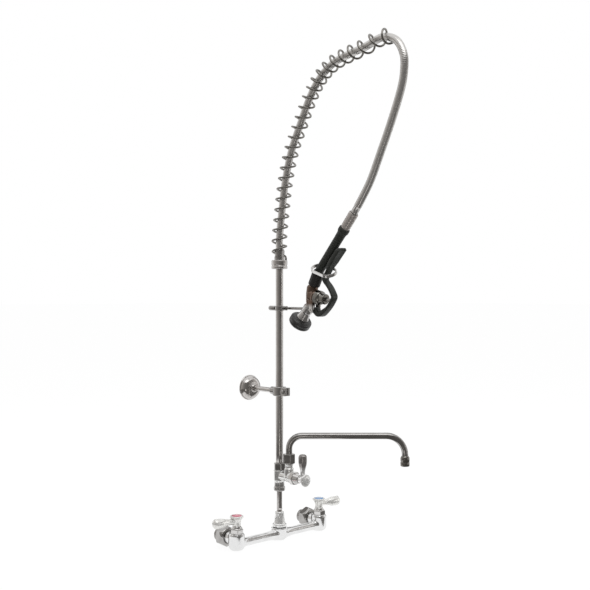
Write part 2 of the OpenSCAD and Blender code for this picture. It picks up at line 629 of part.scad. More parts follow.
height_at = [for (i = [0:len(curve) - 1]) [curve_run[i], curve[i][1]]];
hose_len = curve_run[len(curve) - 1];

// Place and direction at a distance s along the hose, as [0, forward, height]
function place_at(s) = [0, -lookup(s, forward_at), lookup(s, height_at)];
function heading_at(s) = let (v = place_at(min(s + 2, hose_len)) - place_at(max(s - 2, 0))) v / norm(v);
side_dir = [1, 0, 0];

// Joins rings of equal count into one closed skin; the ends are flat
function ring_faces(rings, sides) = [for (r = [0:rings - 2]) for (k = [0:sides - 1])
    let (a = r * sides + k, b = r * sides + (k + 1) % sides)
    each [[a, b, b + sides], [a, b + sides, a + sides]]];
function fan(first, sides, flip) = [for (k = [1:sides - 2])
    flip ? [first, first + k + 1, first + k] : [first, first + k, first + k + 1]];

hose_sides = 8;
hose_r = hose_d / 2;
sleeve_len = 20;                          // rigid sleeve inside the spring's foot
hose_start = sleeve_len - 6;
hose_stop = hose_len;
straight = hose_d;                        // smooth stretch at each end
rib_pitch = (hose_stop - hose_start - 2 * straight) / hose_ribs;
function hose_ring(s, r) = [for (k = [0:hose_sides - 1])
    place_at(s) + r * (cos(360 * k / hose_sides) * side_dir
        + sin(360 * k / hose_sides) * cross(heading_at(s), side_dir))];
hose_stations = concat([[hose_start, hose_r - rib_depth]],
    [for (i = [0:hose_ribs - 1]) each [[hose_start + straight + i * rib_pitch, hose_r - rib_depth],
        [hose_start + straight + (i + 0.5) * rib_pitch, hose_r]]],
    [[hose_stop - straight, hose_r - rib_depth], [hose_stop, hose_r - rib_depth]]);
bore_count = 40;
outer_rings = [for (st = hose_stations) each hose_ring(st[0], st[1])];
inner_rings = [for (i = [0:bore_count]) each
    hose_ring(hose_start + (hose_stop - hose_start) * i / bore_count, hose_bore / 2)];
outer_n = len(hose_stations);
inner_first = outer_n * hose_sides;
function end_ring(outer, inner, flip) = [for (k = [0:hose_sides - 1])
    let (a = outer + k, b = outer + (k + 1) % hose_sides, c = inner + k, d = inner + (k + 1) % hose_sides)
    each (flip ? [[a, d, b], [a, c, d]] : [[a, b, d], [a, d, c]])];
function reversed(faces, shift) = [for (f = faces) [f[2] + shift, f[1] + shift, f[0] + shift]];

module hose() color(dark_chrome) at_axis(collar_top) polyhedron(
    points = concat(outer_rings, inner_rings),
    faces = concat(ring_faces(outer_n, hose_sides),
        reversed(ring_faces(bore_count + 1, hose_sides), inner_first),
        end_ring(0, inner_first, true),
        end_ring((outer_n - 1) * hose_sides, inner_first + bore_count * hose_sides, false)));

// Overhead spring: wire wound round the hose, its foot standing square on the collar
wire_sides = 6;
curl_rings = 8;
coil_r = (spring_d - wire_d) / 2;
last_r = hose_r + wire_d / 2 + gap;       // the top curl closes on the hose
coil_top = 508;                           // where evenly wound curls would end along the hose
foot_bend = wire_d * 1.3;
coil_pitch = (coil_top - wire_d - foot_bend) / curls;
function coil_radius(turn) = turn < curls - closing ? coil_r
    : coil_r + (last_r - coil_r) * (1 - cos(180 * (turn - curls + closing) / closing)) / 2;
closing = 0.6;                            // turns over which the top curl closes
// Wire centre on the winding surface: angle in degrees, distance s along the hose
function wire_at(angle, s, r) = place_at(s) + r * (cos(angle) * side_dir
    + sin(angle) * cross(heading_at(s), side_dir));
// The curls crowd before the top of the arch, and spread again after it and at their end
bunch = 9.5;
bunch_from = 0.58 * curls;
bunch_span = 0.385 * curls;
loose = 8;
loose_turns = 3.2;                        // turns at the top that stand further apart
function coil_s(turn) = let (x = (turn - bunch_from) / bunch_span, y = max(0, turn - curls + loose_turns))
    wire_d + foot_bend + coil_pitch * turn - (x > 0 && x < 1 ? bunch * (1 - cos(360 * x)) / 2 : 0)
    + loose * y * y / (1 + y);
function wire_spot(turn) = wire_at(360 * turn, coil_s(turn), coil_radius(turn));
bend_turn = foot_bend / (2 * PI * coil_r);
foot_path = [wire_at(-360 * bend_turn, 0, coil_r), wire_at(-360 * bend_turn, wire_d, coil_r),
    wire_at(-360 * bend_turn * 0.7, wire_d + foot_bend * 0.6, coil_r)];
top_spot = wire_spot(curls);
top_way = (wire_spot(curls) - wire_spot(curls - 0.02)) / norm(wire_spot(curls) - wire_spot(curls - 0.02));
wire_path = concat(foot_path, [for (i = [0:curls * curl_rings]) wire_spot(i / curl_rings)],
    [top_spot + wire_d * top_way]);
wire_n = len(wire_path);
function path_way(path, i) = let (v = path[min(i + 1, len(path) - 1)] - path[max(i - 1, 0)]) v / norm(v);
function out_from(point, way) = let (v = side_dir - (side_dir * way) * way) v / norm(v);
function wire_ring(i) = let (way = i < 2 ? [0, 0, 1] : path_way(wire_path, i),
    s = i < 3 ? 0 : min(hose_len, coil_s((i - 3) / curl_rings)),
    raw = wire_path[i] - place_at(i < 3 ? wire_path[i][2] : s),
    flat = raw - (raw * way) * way, u = flat / norm(flat), v = cross(way, u))
    [for (k = [0:wire_sides - 1]) wire_path[i] + wire_d / 2 * (cos(360 * k / wire_sides) * u
        + sin(360 * k / wire_sides) * v)];
wire_points = [for (i = [0:wire_n - 1]) each wire_ring(i)];
least_gap = min([for (i = [0:wire_n - 1]) for (j = [i + curl_rings - 2:1:min(wire_n - 1, i + curl_rings + 2)])
    norm(wire_path[j] - wire_path[i]) - wire_d]);
echo(str("Least gap of the overhead spring to itself: ", least_gap, " mm"));
echo(str("Length of the hose along its route: ", hose_len - hose_start, " mm"));

module overhead_spring() color(chrome) at_axis(collar_top) polyhedron(points = wire_points,
    faces = concat(ring_faces(wire_n, wire_sides), fan(0, wire_sides, true),
        fan((wire_n - 1) * wire_sides, wire_sides, false)));

spring_r = spring_d / 2;
module spring_collar() color(chrome) at_axis(collar_bottom) difference() {
    turned([[0, 0], [spring_r - 1.2, 0], [spring_r, 1.2], [spring_r, 5], [spring_r - 0.8, 5.8],
        [spring_r - 0.8, 7.2], [spring_r, 8], [spring_r, collar_h - 1], [spring_r - 1, collar_h - gap],
        [0, collar_h - gap]]);
    translate([0, 0, -1]) cylinder(r = riser_r + run, h = collar_h + 2, $fn = smooth);
    translate([0, 0, collar_h - 3.8]) cylinder(r = sleeve_r + fit, h = 5, $fn = smooth);
    translate([0, 0, 3]) rotate([0, -90, 0]) cylinder(r = 1.6 + fit, h = 20, $fn = smooth);
}
module collar_screw() color(dark_chrome) at_axis(collar_bottom + 3) rotate([0, -90, 0])
    translate([0, 0, riser_r + run + 0.3]) difference() {
        cylinder(r = 1.6, h = spring_r - riser_r - 1.8, $fn = smooth);
        translate([0, 0, 3]) cylinder(r = 0.9, h = 10, $fn = 6);
    }
sleeve_r = 9.4;
module hose_sleeve() color(dark_chrome) at_axis(collar_top) difference() {
    turned([[0, -3.5], [sleeve_r, -3.5], [sleeve_r, 6], [sleeve_r - 1, 7], [sleeve_r - 1, 10],
        [sleeve_r, 11], [sleeve_r, sleeve_len - 3], [sleeve_r - 1.2, sleeve_len], [0, sleeve_len]]);
    translate([0, 0, -4]) cylinder(r = riser_r - riser_wall, h = sleeve_len, $fn = smooth);
    translate([0, 0, hose_start]) cylinder(r = hose_r + fit, h = sleeve_len, $fn = smooth);
}

// ---------------------------------------------------------------- spray valve
ferrule_r = 8.6;
ferrule_groove = 14;                      // height of the lower edge of the groove round the ferrule
hose_in_ferrule = 2;
// Hangs from the hose's end, +Z along the grip toward the hose
module grip_place() in_plane(hose_end, grip_lean) children();
module hose_ferrule() color(chrome) grip_place() difference() {
    translate([0, 0, -ferrule_len]) turned([[0, 0], [ferrule_r - 1, 0], [ferrule_r - 1, 3], [ferrule_r, 4],
        [ferrule_r, ferrule_groove], [ferrule_r - 0.9, ferrule_groove + 1],
        [ferrule_r - 0.9, ferrule_groove + 3], [ferrule_r, ferrule_groove + 4],
        [ferrule_r, ferrule_len - 1], [ferrule_r - 1, ferrule_len - gap], [0, ferrule_len - gap]]);
    translate([0, 0, -ferrule_len - 1]) cylinder(r = hose_bore / 2, h = ferrule_len + 2, $fn = smooth);
}
grip_r = grip_d / 2;
grip_top_r = 10;
grip_top_z = -ferrule_len;
module grip() color(black_plastic) grip_place() translate([0, 0, grip_top_z - grip_len]) difference() {
    turned(concat([[0, 0], [grip_r - 1, 0], [grip_r, 1], [grip_r, grip_len - 14]],
        [[grip_r + 0.6, grip_len - 9], [grip_top_r, grip_len - 7], [grip_top_r, grip_len - 1.5],
        [grip_top_r - 1.5, grip_len], [0, grip_len]]));
    translate([0, 0, -1]) cylinder(r = hose_bore / 2, h = grip_len + 2, $fn = smooth);
    for (i = [0:9]) translate([0, 0, 30 + i * 4.5]) difference() {
        cylinder(r = grip_r + 1, h = 1.2, $fn = smooth);
        translate([0, 0, -1]) cylinder(r = grip_r - 0.4, h = 4, $fn = smooth);
    }
}
coupling_r = 11;
spigot_r = 7;
spigot_len = 10;
coupling_socket = 2.5;                    // how far the coupling reaches up round the grip
socket_clear = 20;                        // length of the cuts that seat the grip and the body
// Origin at the grip's foot, +Z up the coupling
module coupling_place() in_plane(grip_foot, coupling_lean) children();
module grip_coupling() color(rubber) difference() {
    coupling_place() intersection() {
        translate([0, 0, -coupling_h]) turned([[0, 0], [coupling_r - 1, 0], [coupling_r, 1],
            [coupling_r, coupling_h - 4], [coupling_r - 2, coupling_h + coupling_socket],
            [0, coupling_h + coupling_socket]]);
        translate([0, 0, -coupling_h]) cylinder(r = coupling_r + 0.2,
            h = coupling_h + 2 * coupling_socket, $fn = 12);
    }
    coupling_place() translate([0, 0, -coupling_h - 1])
        cylinder(r = hose_bore / 2, h = coupling_h + 2, $fn = smooth);
    coupling_place() translate([0, 0, -coupling_h - 1])
        cylinder(r = spigot_r + fit, h = spigot_len + 1.5, $fn = smooth);
    grip_place() translate([0, 0, grip_top_z - grip_len])
        cylinder(r = grip_r + fit, h = socket_clear, $fn = smooth);
    body_place() translate([0, 0, -socket_clear])
        cylinder(r = body_r + fit, h = socket_clear + gap, $fn = smooth);
}

// Valve body: origin at its top joint, +Z up the body, -Y forward through the plunger
module body_place() in_plane(body_joint, body_lean) children();
body_r = body_d / 2;
neck_r = 7.2;
plunger_z = -20;
plunger_bore_r = 7;
plunger_r = 3.6;
boss_reach = 15;
pivot = [13.5, -44];                      // forward and height of the lever pin
ear_t = 3;
ear_in = squeeze_w / 2 + gap;
pin_r = 1.6;
module ear_outline() {
    translate([-pivot[0], pivot[1]]) circle(r = 4.2, $fn = smooth);
    polygon([[-2.5, plunger_z - 4], [-boss_reach + 2, plunger_z - 4], [-pivot[0] - 4.1, pivot[1] + 0.9],
        [-pivot[0] + 4.1, pivot[1] - 0.9]]);
}
module valve_body() color(chrome) difference() {
    union() {
        coupling_place() translate([0, 0, -coupling_h - 4])
            cylinder(r = spigot_r, h = spigot_len + 4, $fn = smooth);
        body_place() {
            turned(concat([[0, -body_len], [neck_r, -body_len], [neck_r, -body_len + 3.5],
                [body_r - 1.6, -body_len + 6], [body_r, -17], [body_r, -8]],
                arc(body_r - 6, -6, 6, 0, 80, 5), [[0, 0]]));
            translate([0, 0, plunger_z]) rotate([90, 0, 0]) turned([[0, 0], [11.5, 0], [11.5, boss_reach - 4],
                [12.5, boss_reach - 3], [12.5, boss_reach], [0, boss_reach]]);
            for (side = [-1, 1]) translate([side * (ear_in + ear_t / 2) - ear_t / 2, 0, 0])
                rotate([90, 0, 90]) linear_extrude(height = ear_t) ear_outline();
        }
        head_place() turned(concat([[0, -neck_len - 2], [neck_foot_r, -neck_len - 2],
            [neck_foot_r, -neck_len + 3], [neck_foot_r - 1, -neck_len + 4.5], [8, -neck_nut_mid - 9],
            [8, -neck_nut_mid - 7], [neck_nut_r, -neck_nut_mid - 6], [neck_nut_r, -neck_nut_mid + 4],
            [neck_nut_r - 1.2, -neck_nut_mid + 5.4]], arc(0, 0, neck_r + 0.4, 0, 90)));
    }
    body_place() translate([0, 0, plunger_z]) rotate([90, 0, 0]) {
        translate([0, 0, -4]) cylinder(r = plunger_bore_r, h = 30, $fn = smooth);
    }
    body_place() translate([-20, -pivot[0], pivot[1]]) rotate([0, 90, 0])
        cylinder(r = pin_r + fit, h = 40, $fn = smooth);
    body_place() translate([0, 0, -body_len - 1]) cylinder(r = 3, h = body_len - 8, $fn = smooth);
    coupling_place() translate([0, 0, -coupling_h - 10]) cylinder(r = 3.2, h = 30, $fn = smooth);
    head_place() translate([0, 0, -neck_len - 3]) cylinder(r = 3.4, h = neck_len + 3, $fn = smooth);
}
bonnet_front = 38;
module valve_bonnet() color(chrome) body_place() translate([0, 0, plunger_z]) rotate([90, 0, 0])
    difference() {
    union() {
        translate([0, 0, boss_reach]) intersection() {
            turned([[0, 0], [12.4, 0], [13.2, 1], [13.2, 9], [12, 11], [9.8, 13], [9.4, 14],
                [9.4, bonnet_front - boss_reach - 1], [8.4, bonnet_front - boss_reach],
                [0, bonnet_front - boss_reach]]);
            union() {
                cylinder(r = 13.6, h = 12, $fn = 8);
                cylinder(r = 11, h = 30, $fn = smooth);
            }
        }
        translate([0, 0, 6]) cylinder(r = plunger_bore_r - fit, h = 10, $fn = smooth);
    }
    translate([0, 0, 5]) cylinder(r = plunger_r + run, h = 50, $fn = smooth);
    translate([0, 0, 5]) cylinder(r = 5.6, h = 22, $fn = smooth);
}

// Squeeze lever: a bent strap, as forward and height points of its middle line
loop_low = [54, -27];
loop_high = [58, -14];
lever_line = [pivot, [25, -49.5], [31, -50], [38, -47], [47.5, -37], loop_low, loop_high, [55, -7.5],
    [45.3, 3], [32.8, 12.5], [32.6, 19], [40.2, 34.6], [64, 72]];
loop_tilt = atan2(loop_high[0] - loop_low[0], loop_high[1] - loop_low[1]);
loop_face = loop_low[0] + (loop_high[0] - loop_low[0]) * (plunger_z - loop_low[1]) / (loop_high[1] - loop_low[1])
    - squeeze_t / 2 / cos(loop_tilt);
// The plunger's round end stands one gap from the lever's inner face
plunger_tip = loop_face - (gap + plunger_r) / cos(loop_tilt) + plunger_r;
plunger_back = 2;
module plunger() color(dark_chrome) body_place() translate([0, 0, plunger_z]) rotate([90, 0, 0]) {
    translate([0, 0, plunger_back + 8]) cylinder(r = plunger_r,
        h = plunger_tip - plunger_back - 8 - plunger_r, $fn = smooth);
    translate([0, 0, plunger_tip - plunger_r]) turned(concat([[0, 0]], arc(0, 0, plunger_r, 0, 90, 8)));
    translate([0, 0, plunger_back + 5]) cylinder(r = 5.4, h = 3, $fn = smooth);
}
// Return spring of the plunger, as the plain sleeve that its turns fill
module valve_spring() color(dark_chrome) body_place() translate([0, 0, plunger_z]) rotate([90, 0, 0])
    translate([0, 0, -3.8]) tube(5.2, 4.2, plunger_back + 5 + 3.8 - 4);

bumper_r = bumper_d / 2;
bumper_top = -neck_len;
neck_foot_r = 11;
module head_place() in_plane(head_joint, head_lean) children();
module spray_bumper() color(rubber) head_place() translate([0, 0, bumper_top - bumper_h]) difference() {
    turned(concat([[0, 0], [bumper_r - 4, 0]], arc(bumper_r - 3, 3, 3, -90, 0, 4),
        [[bumper_r, bumper_h - 6]], arc(bumper_r - 4, bumper_h - 6, 4, 0, 70, 4),
        [[13, bumper_h], [0, bumper_h]]));
    translate([0, 0, bumper_h - 2.1]) cylinder(r = neck_foot_r + fit, h = 5, $fn = smooth);
    translate([0, 0, -1]) cylinder(r = bumper_r - 5, h = 7, $fn = smooth);
    translate([0, 0, -1]) cylinder(r = 8, h = 40, $fn = smooth);
}
module spray_face() color(dark_chrome) head_place() translate([0, 0, bumper_top - bumper_h + 2])
    difference() {
    union() {
        cylinder(r = bumper_r - 5 - fit, h = 3, $fn = smooth);
        translate([0, 0, 2]) cylinder(r = 8 - fit, h = bumper_h - 6.1, $fn = smooth);
    }
    translate([0, 0, 1.5]) cylinder(r = 5, h = 30, $fn = smooth);
    for (a = [0:30:330]) rotate([0, 0, a]) translate([11.5, 0, -1]) cylinder(r = 0.9, h = 5, $fn = 16);
    for (a = [0:60:300]) rotate([0, 0, a]) translate([3, 0, -1]) cylinder(r = 0.9, h = 5, $fn = 16);
    for (a = [15, 135, 255]) rotate([0, 0, a]) translate([7, 0, -1])
        cylinder(r = 1.3 + fit, h = 2.6, $fn = smooth);
}
module face_screws() color(dark_chrome) head_place() translate([0, 0, bumper_top - bumper_h + 2])
    for (a = [15, 135, 255]) rotate([0, 0, a]) translate([7, 0, -1.2]) difference() {
        union() {
            cylinder(r = 2.2, h = 1.15, $fn = smooth);
            cylinder(r = 1.3, h = 2.7, $fn = smooth);
        }
        translate([-2, -0.3, -1]) cube([4, 0.6, 1.5]);
    }
module lever_pin() color(dark_chrome) body_place() translate([0, -pivot[0], pivot[1]]) rotate([0, 90, 0])
    translate([0, 0, -ear_in - ear_t - 0.6])
        cylinder(r = pin_r, h = 2 * (ear_in + ear_t + 0.6), $fn = smooth);

function side_way(a, b) = let (v = b - a) [-v[1], v[0]] / norm(v);
function line_side(line, i) = let (n = len(line),
    a = side_way(line[max(i - 1, 0)], line[max(i, 1)]),
    b = side_way(line[min(i, n - 2)], line[min(i + 1, n - 1)]), m = a + b)
    m / norm(m) / (m / norm(m) * a);
function band(line, t) = concat([for (i = [0:len(line) - 1]) line[i] + t / 2 * line_side(line, i)],
    [for (i = [len(line) - 1:-1:0]) line[i] - t / 2 * line_side(line, i)]);
function mirrored(points) = [for (p = points) [-p[0], p[1]]];
lever_n = len(lever_line);
lever_tip = lever_line[lever_n - 1];
pad_from = 8;                             // how far above the lever's last bend the finger pad starts
pad_way = (lever_tip - lever_line[lever_n - 2]) / norm(lever_tip - lever_line[lever_n - 2]);
pad_foot = lever_line[lever_n - 2] + pad_from * pad_way;
pad_lap = 0.8;                            // how much thicker the finger pad is than the lever's stem
// One slab that follows the lever's line, broad along the finger pad, narrow where it enters the valve body
module squeeze_lever() color(black_plastic) body_place() rotate([90, 0, 90]) difference() {
    union() {
        translate([0, 0, -squeeze_w / 2]) linear_extrude(height = squeeze_w) union() {
            polygon(mirrored(band(lever_line, squeeze_t)));
            translate([-pivot[0], pivot[1]]) circle(r = 4, $fn = smooth);
        }
        translate([0, 0, -pad_w / 2]) linear_extrude(height = pad_w) union() {
            polygon(mirrored(band([pad_foot, lever_tip], squeeze_t + pad_lap)));
            translate([-lever_tip[0], lever_tip[1]])
                circle(r = (squeeze_t + pad_lap) / 2 + 0.3, $fn = smooth);
            translate([-pad_foot[0], pad_foot[1]]) circle(r = (squeeze_t + pad_lap) / 2 + 0.1, $fn = smooth);
        }
    }
    translate([-pivot[0], pivot[1], -squeeze_w]) cylinder(r = pin_r + run, h = 2 * squeeze_w, $fn = smooth);
}

// Hold-down ring: a flat band bent to a long loop, hanging askew round the grip and the lever
ring_r = 14.8;
ring_t = 1.8;
ring_h = 6;
ring_span = 24.6;
ring_z = grip_top_z - grip_len + 7.6;
ring_back = 3;                            // how far the loop's rear end centre lies behind the grip's axis
ring_tip = 24;
ring_roll = 26;
module ring_outline(r) {
    circle(r = r, $fn = smooth);
    translate([0, -ring_span]) circle(r = r, $fn = smooth);
    translate([-r, -ring_span]) square([2 * r, ring_span]);
}
module hold_ring() color(chrome) grip_place() translate([0, 0, ring_z]) rotate([-ring_tip, 0, 0])
    rotate([0, -ring_roll, 0]) translate([0, ring_back, -ring_h / 2])
        linear_extrude(height = ring_h) difference() {
        ring_outline(ring_r);
        ring_outline(ring_r - ring_t);
    }

base_body();
inlet_nuts();
inlet_tails();
inlet_washers();
valve_bonnets();
riser_bell();
bell_washer();
lower_nipple();
addon_body();
addon_bonnet();
riser_nut();
riser_pipe();
bracket_clamp();
bracket_screw();
bracket_rod();
bracket_flange();
hook_clamp();
hook_rod();
hook_cap();
hook_screw();
hot_lever();
hot_index();
hot_screw();
hot_stem();
cold_lever();
cold_index();
cold_screw();
cold_stem();
addon_lever();
addon_index();
addon_screw();
addon_stem();
spout_nut();
spout_tube();
spout_o_rings();
aerator_shell();
aerator_screen();
spring_collar();
collar_screw();
hose_sleeve();
overhead_spring();
hose();
hose_ferrule();
grip();
grip_coupling();
valve_body();
valve_bonnet();
valve_spring();
spray_bumper();
spray_face();
face_screws();
lever_pin();
squeeze_lever();
plunger();
hold_ring();
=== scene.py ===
"""Wall-mounted pre-rinse faucet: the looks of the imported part, in metres, in the shared frame."""

import json
import math

import bpy
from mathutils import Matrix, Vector


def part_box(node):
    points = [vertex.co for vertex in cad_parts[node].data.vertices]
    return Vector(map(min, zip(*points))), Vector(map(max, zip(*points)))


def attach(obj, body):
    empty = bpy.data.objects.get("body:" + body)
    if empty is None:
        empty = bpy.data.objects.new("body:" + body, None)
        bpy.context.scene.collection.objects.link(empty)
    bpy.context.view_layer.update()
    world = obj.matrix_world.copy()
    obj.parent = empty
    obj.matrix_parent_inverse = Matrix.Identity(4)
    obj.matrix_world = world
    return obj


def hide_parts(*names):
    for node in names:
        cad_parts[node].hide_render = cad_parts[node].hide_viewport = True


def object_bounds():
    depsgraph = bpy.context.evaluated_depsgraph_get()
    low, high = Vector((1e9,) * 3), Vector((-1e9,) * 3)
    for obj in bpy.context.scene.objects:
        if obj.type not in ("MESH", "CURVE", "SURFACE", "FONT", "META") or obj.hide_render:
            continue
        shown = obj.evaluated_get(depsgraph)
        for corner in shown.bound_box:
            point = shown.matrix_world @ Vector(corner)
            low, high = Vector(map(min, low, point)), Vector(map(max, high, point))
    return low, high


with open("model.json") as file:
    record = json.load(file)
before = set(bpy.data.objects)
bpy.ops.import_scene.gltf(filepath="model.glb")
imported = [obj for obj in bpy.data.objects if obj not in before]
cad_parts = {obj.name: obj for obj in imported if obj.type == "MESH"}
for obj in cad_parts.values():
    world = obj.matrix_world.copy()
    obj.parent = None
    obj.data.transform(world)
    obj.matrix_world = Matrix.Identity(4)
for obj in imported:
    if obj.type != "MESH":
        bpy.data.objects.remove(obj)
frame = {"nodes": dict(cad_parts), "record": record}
cad_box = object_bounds()
scene = bpy.context.scene
nodes, record = frame["nodes"], frame["record"]
# The body that each CAD node rides on, and its material slot
BODY = {node: body for body, riders in record["behaviour"]["bodies"].items() for node in riders}
SLOT = {part["node"]: part["material_slot"] for part in record["subparts"]}

UP = Vector((0, 0, 1))
SIDE = Vector((1, 0, 0))
RISER_Y = -52                       # the riser's axis, forward of the frame's origin, in millimetres
AXIS = Vector((0, RISER_Y / 1000, 0))

# ------------------------------------------------------------ camera
CAMERA_TURN = 42                    # degrees to the right of looking square at the wall
CAMERA_BACK, CAMERA_ASIDE, CAMERA_HEIGHT = 1.650, 0.029, 0.438
PHOTO_PIXELS, FOCAL_PIXELS, SENSOR = 590, 883, 36
LOOK = Vector((math.sin(math.radians(CAMERA_TURN)), math.cos(math.radians(CAMERA_TURN)), 0))
RIGHT = Vector((LOOK.y, -LOOK.x, 0))

camera = bpy.data.objects.new("camera", bpy.data.cameras.new("camera"))
scene.collection.objects.link(camera)
camera.location = AXIS - CAMERA_BACK * LOOK + CAMERA_ASIDE * RIGHT + CAMERA_HEIGHT * UP
camera.rotation_euler = (math.radians(90), 0, math.radians(-CAMERA_TURN))
camera.data.sensor_width = SENSOR
camera.data.lens = FOCAL_PIXELS / PHOTO_PIXELS * SENSOR
camera.data.clip_start = 0.05
camera.data.clip_end = 50
scene.camera = camera


# ------------------------------------------------------------ mesh helpers
def piece(name, mesh_data, body, material, replaces, sharp=40):
    """A mesh object that rides on a body and stands for CAD nodes."""
    verts, faces = mesh_data
    mesh = bpy.data.meshes.new(name)
    mesh.from_pydata([tuple(v) for v in verts], [], faces)
    mesh.validate()
    obj = bpy.data.objects.new(name, mesh)
    scene.collection.objects.link(obj)
    mesh.shade_smooth()
    mesh.set_sharp_from_angle(angle=math.radians(sharp))
    mesh.materials.append(material)
    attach(obj, body)
    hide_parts(*replaces)
    return obj


def stand_for(node, mesh_data, material, sharp=40):
    """A piece in place of one CAD node, on the same body, with the given material."""
    piece(node + "_skin", mesh_data, BODY[node], material, [node], sharp)


def rings_to_faces(count, sides):
    """Quads between rings of equal count, laid one after another."""
    faces = []
    for ring in range(count - 1):
        a, b = ring * sides, (ring + 1) * sides
        for k in range(sides):
            n = (k + 1) % sides
            faces.append((a + k, a + n, b + n, b + k))
    return faces


def end_caps(count, sides):
    """The two faces that close a stack of rings."""
    last = (count - 1) * sides
    return [tuple(range(sides - 1, -1, -1)), tuple(last + k for k in range(sides))]


def tube_mesh(path, radii, sides, side_dir=None):
    """A closed tube along points, one radius for each point."""
    verts = []
    n = len(path)
    u = None
    for i, p in enumerate(path):
        way = (path[min(i + 1, n - 1)] - path[max(i - 1, 0)]).normalized()
        if side_dir is not None:
            u = (side_dir - side_dir.dot(way) * way).normalized()
        else:
            u = way.orthogonal().normalized() if u is None else (u - u.dot(way) * way).normalized()
        v = way.cross(u)
        for k in range(sides):
            a = 2 * math.pi * k / sides
            verts.append(p + radii[i] * (math.cos(a) * u + math.sin(a) * v))
    return verts, rings_to_faces(n, sides) + end_caps(n, sides)


def lathe(profile, place, way, sides=48):
    """A turned form: profile is (radius, height) pairs in millimetres, along way from place in metres."""
    on_axis = 1e-3
    way = Vector(way).normalized()
    u = way.orthogonal().normalized()
    v = way.cross(u)
    verts, starts = [], []
    for r, h in profile:
        starts.append(len(verts))
        centre = Vector(place) + h / 1000 * way
        if r < on_axis:
            verts.append(centre)
            continue
        for k in range(sides):
            a = 2 * math.pi * k / sides
            verts.append(centre + r / 1000 * (math.cos(a) * u + math.sin(a) * v))
    faces = []
    for i in range(len(profile) - 1):
        a, b = starts[i], starts[i + 1]
        wide_a, wide_b = profile[i][0] >= on_axis, profile[i + 1][0] >= on_axis
        for k in range(sides):
            n = (k + 1) % sides
            if wide_a and wide_b:
                faces.append((a + k, a + n, b + n, b + k))
            elif wide_a:
                faces.append((a + k, a + n, b))
            elif wide_b:
                faces.append((a, b + n, b + k))
    return verts, faces


def arc(across, up, radius, first, last, step):
    """Points of an arc round (across, up), in whole degrees from first to last."""
    turns = range(first, last + (1 if step > 0 else -1), step)
    return [(across + radius * math.cos(math.radians(a)), up + radius * math.sin(math.radians(a)))
            for a in turns]


def straight(radius, start, end, steps):
    """Points of a straight side after its start, up to its end."""
    return [(radius, start + (end - start) * i / steps) for i in range(1, steps + 1)]


def spline(a, b, c, d, t):
    """A smooth curve from b (t = 0) to c (t = 1), with a and d as the points outside."""
    return 0.5 * (2 * b + (c - a) * t + (2 * a - 5 * b + 4 * c - d) * t * t
                  + (3 * b - a - 3 * c + d) * t ** 3)


def smooth_line(points, steps):
    """A smooth curve through flat points, with some steps from one to the next."""
    ends = [tuple(2 * a - b for a, b in zip(points[0], points[1])), *points,
            tuple(2 * a - b for a, b in zip(points[-1], points[-2]))]
    line = []
    for i in range(1, len(ends) - 2):
        near = list(zip(*ends[i - 1:i + 3]))
        line += [tuple(spline(*along, j / steps) for along in near) for j in range(steps)]
    return [*line, points[-1]]


def running_length(line):
    """How far along a flat line each of its points lies."""
    run = [0.0]
    for (a, b), (c, d) in zip(line, line[1:]):
        run.append(run[-1] + math.hypot(c - a, d - b))
    return run


def grown(distance, span):
    """0 up to distance 0, 1 from span on, and straight between."""
    return min(1, max(0, distance / span))


def middle(node):
    """The middle of a CAD node's box, and its low and high corners."""
    low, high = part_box(node)
    return (low + high) / 2, low, high


# ------------------------------------------------------------ materials
TONE_FROM, TONE_TO = 0.25, 0.75     # noise values of the darker and of the lighter tone
WEAR_HIGHLIGHT_FROM, WEAR_HIGHLIGHT_TO = 0.53, 0.62     # pointiness where the paler edge, wear with a painted highlight, begins and where it is full
ROUGH_FROM, ROUGH_TO = 0.3, 0.7     # noise values of the least and of the greatest roughness
ROUGH_FINER = 2.3                   # how much finer the patches of roughness are than those of tone
BUMP_DEPTH = 0.0004                 # metres
COAT_ROUGHNESS = 0.12


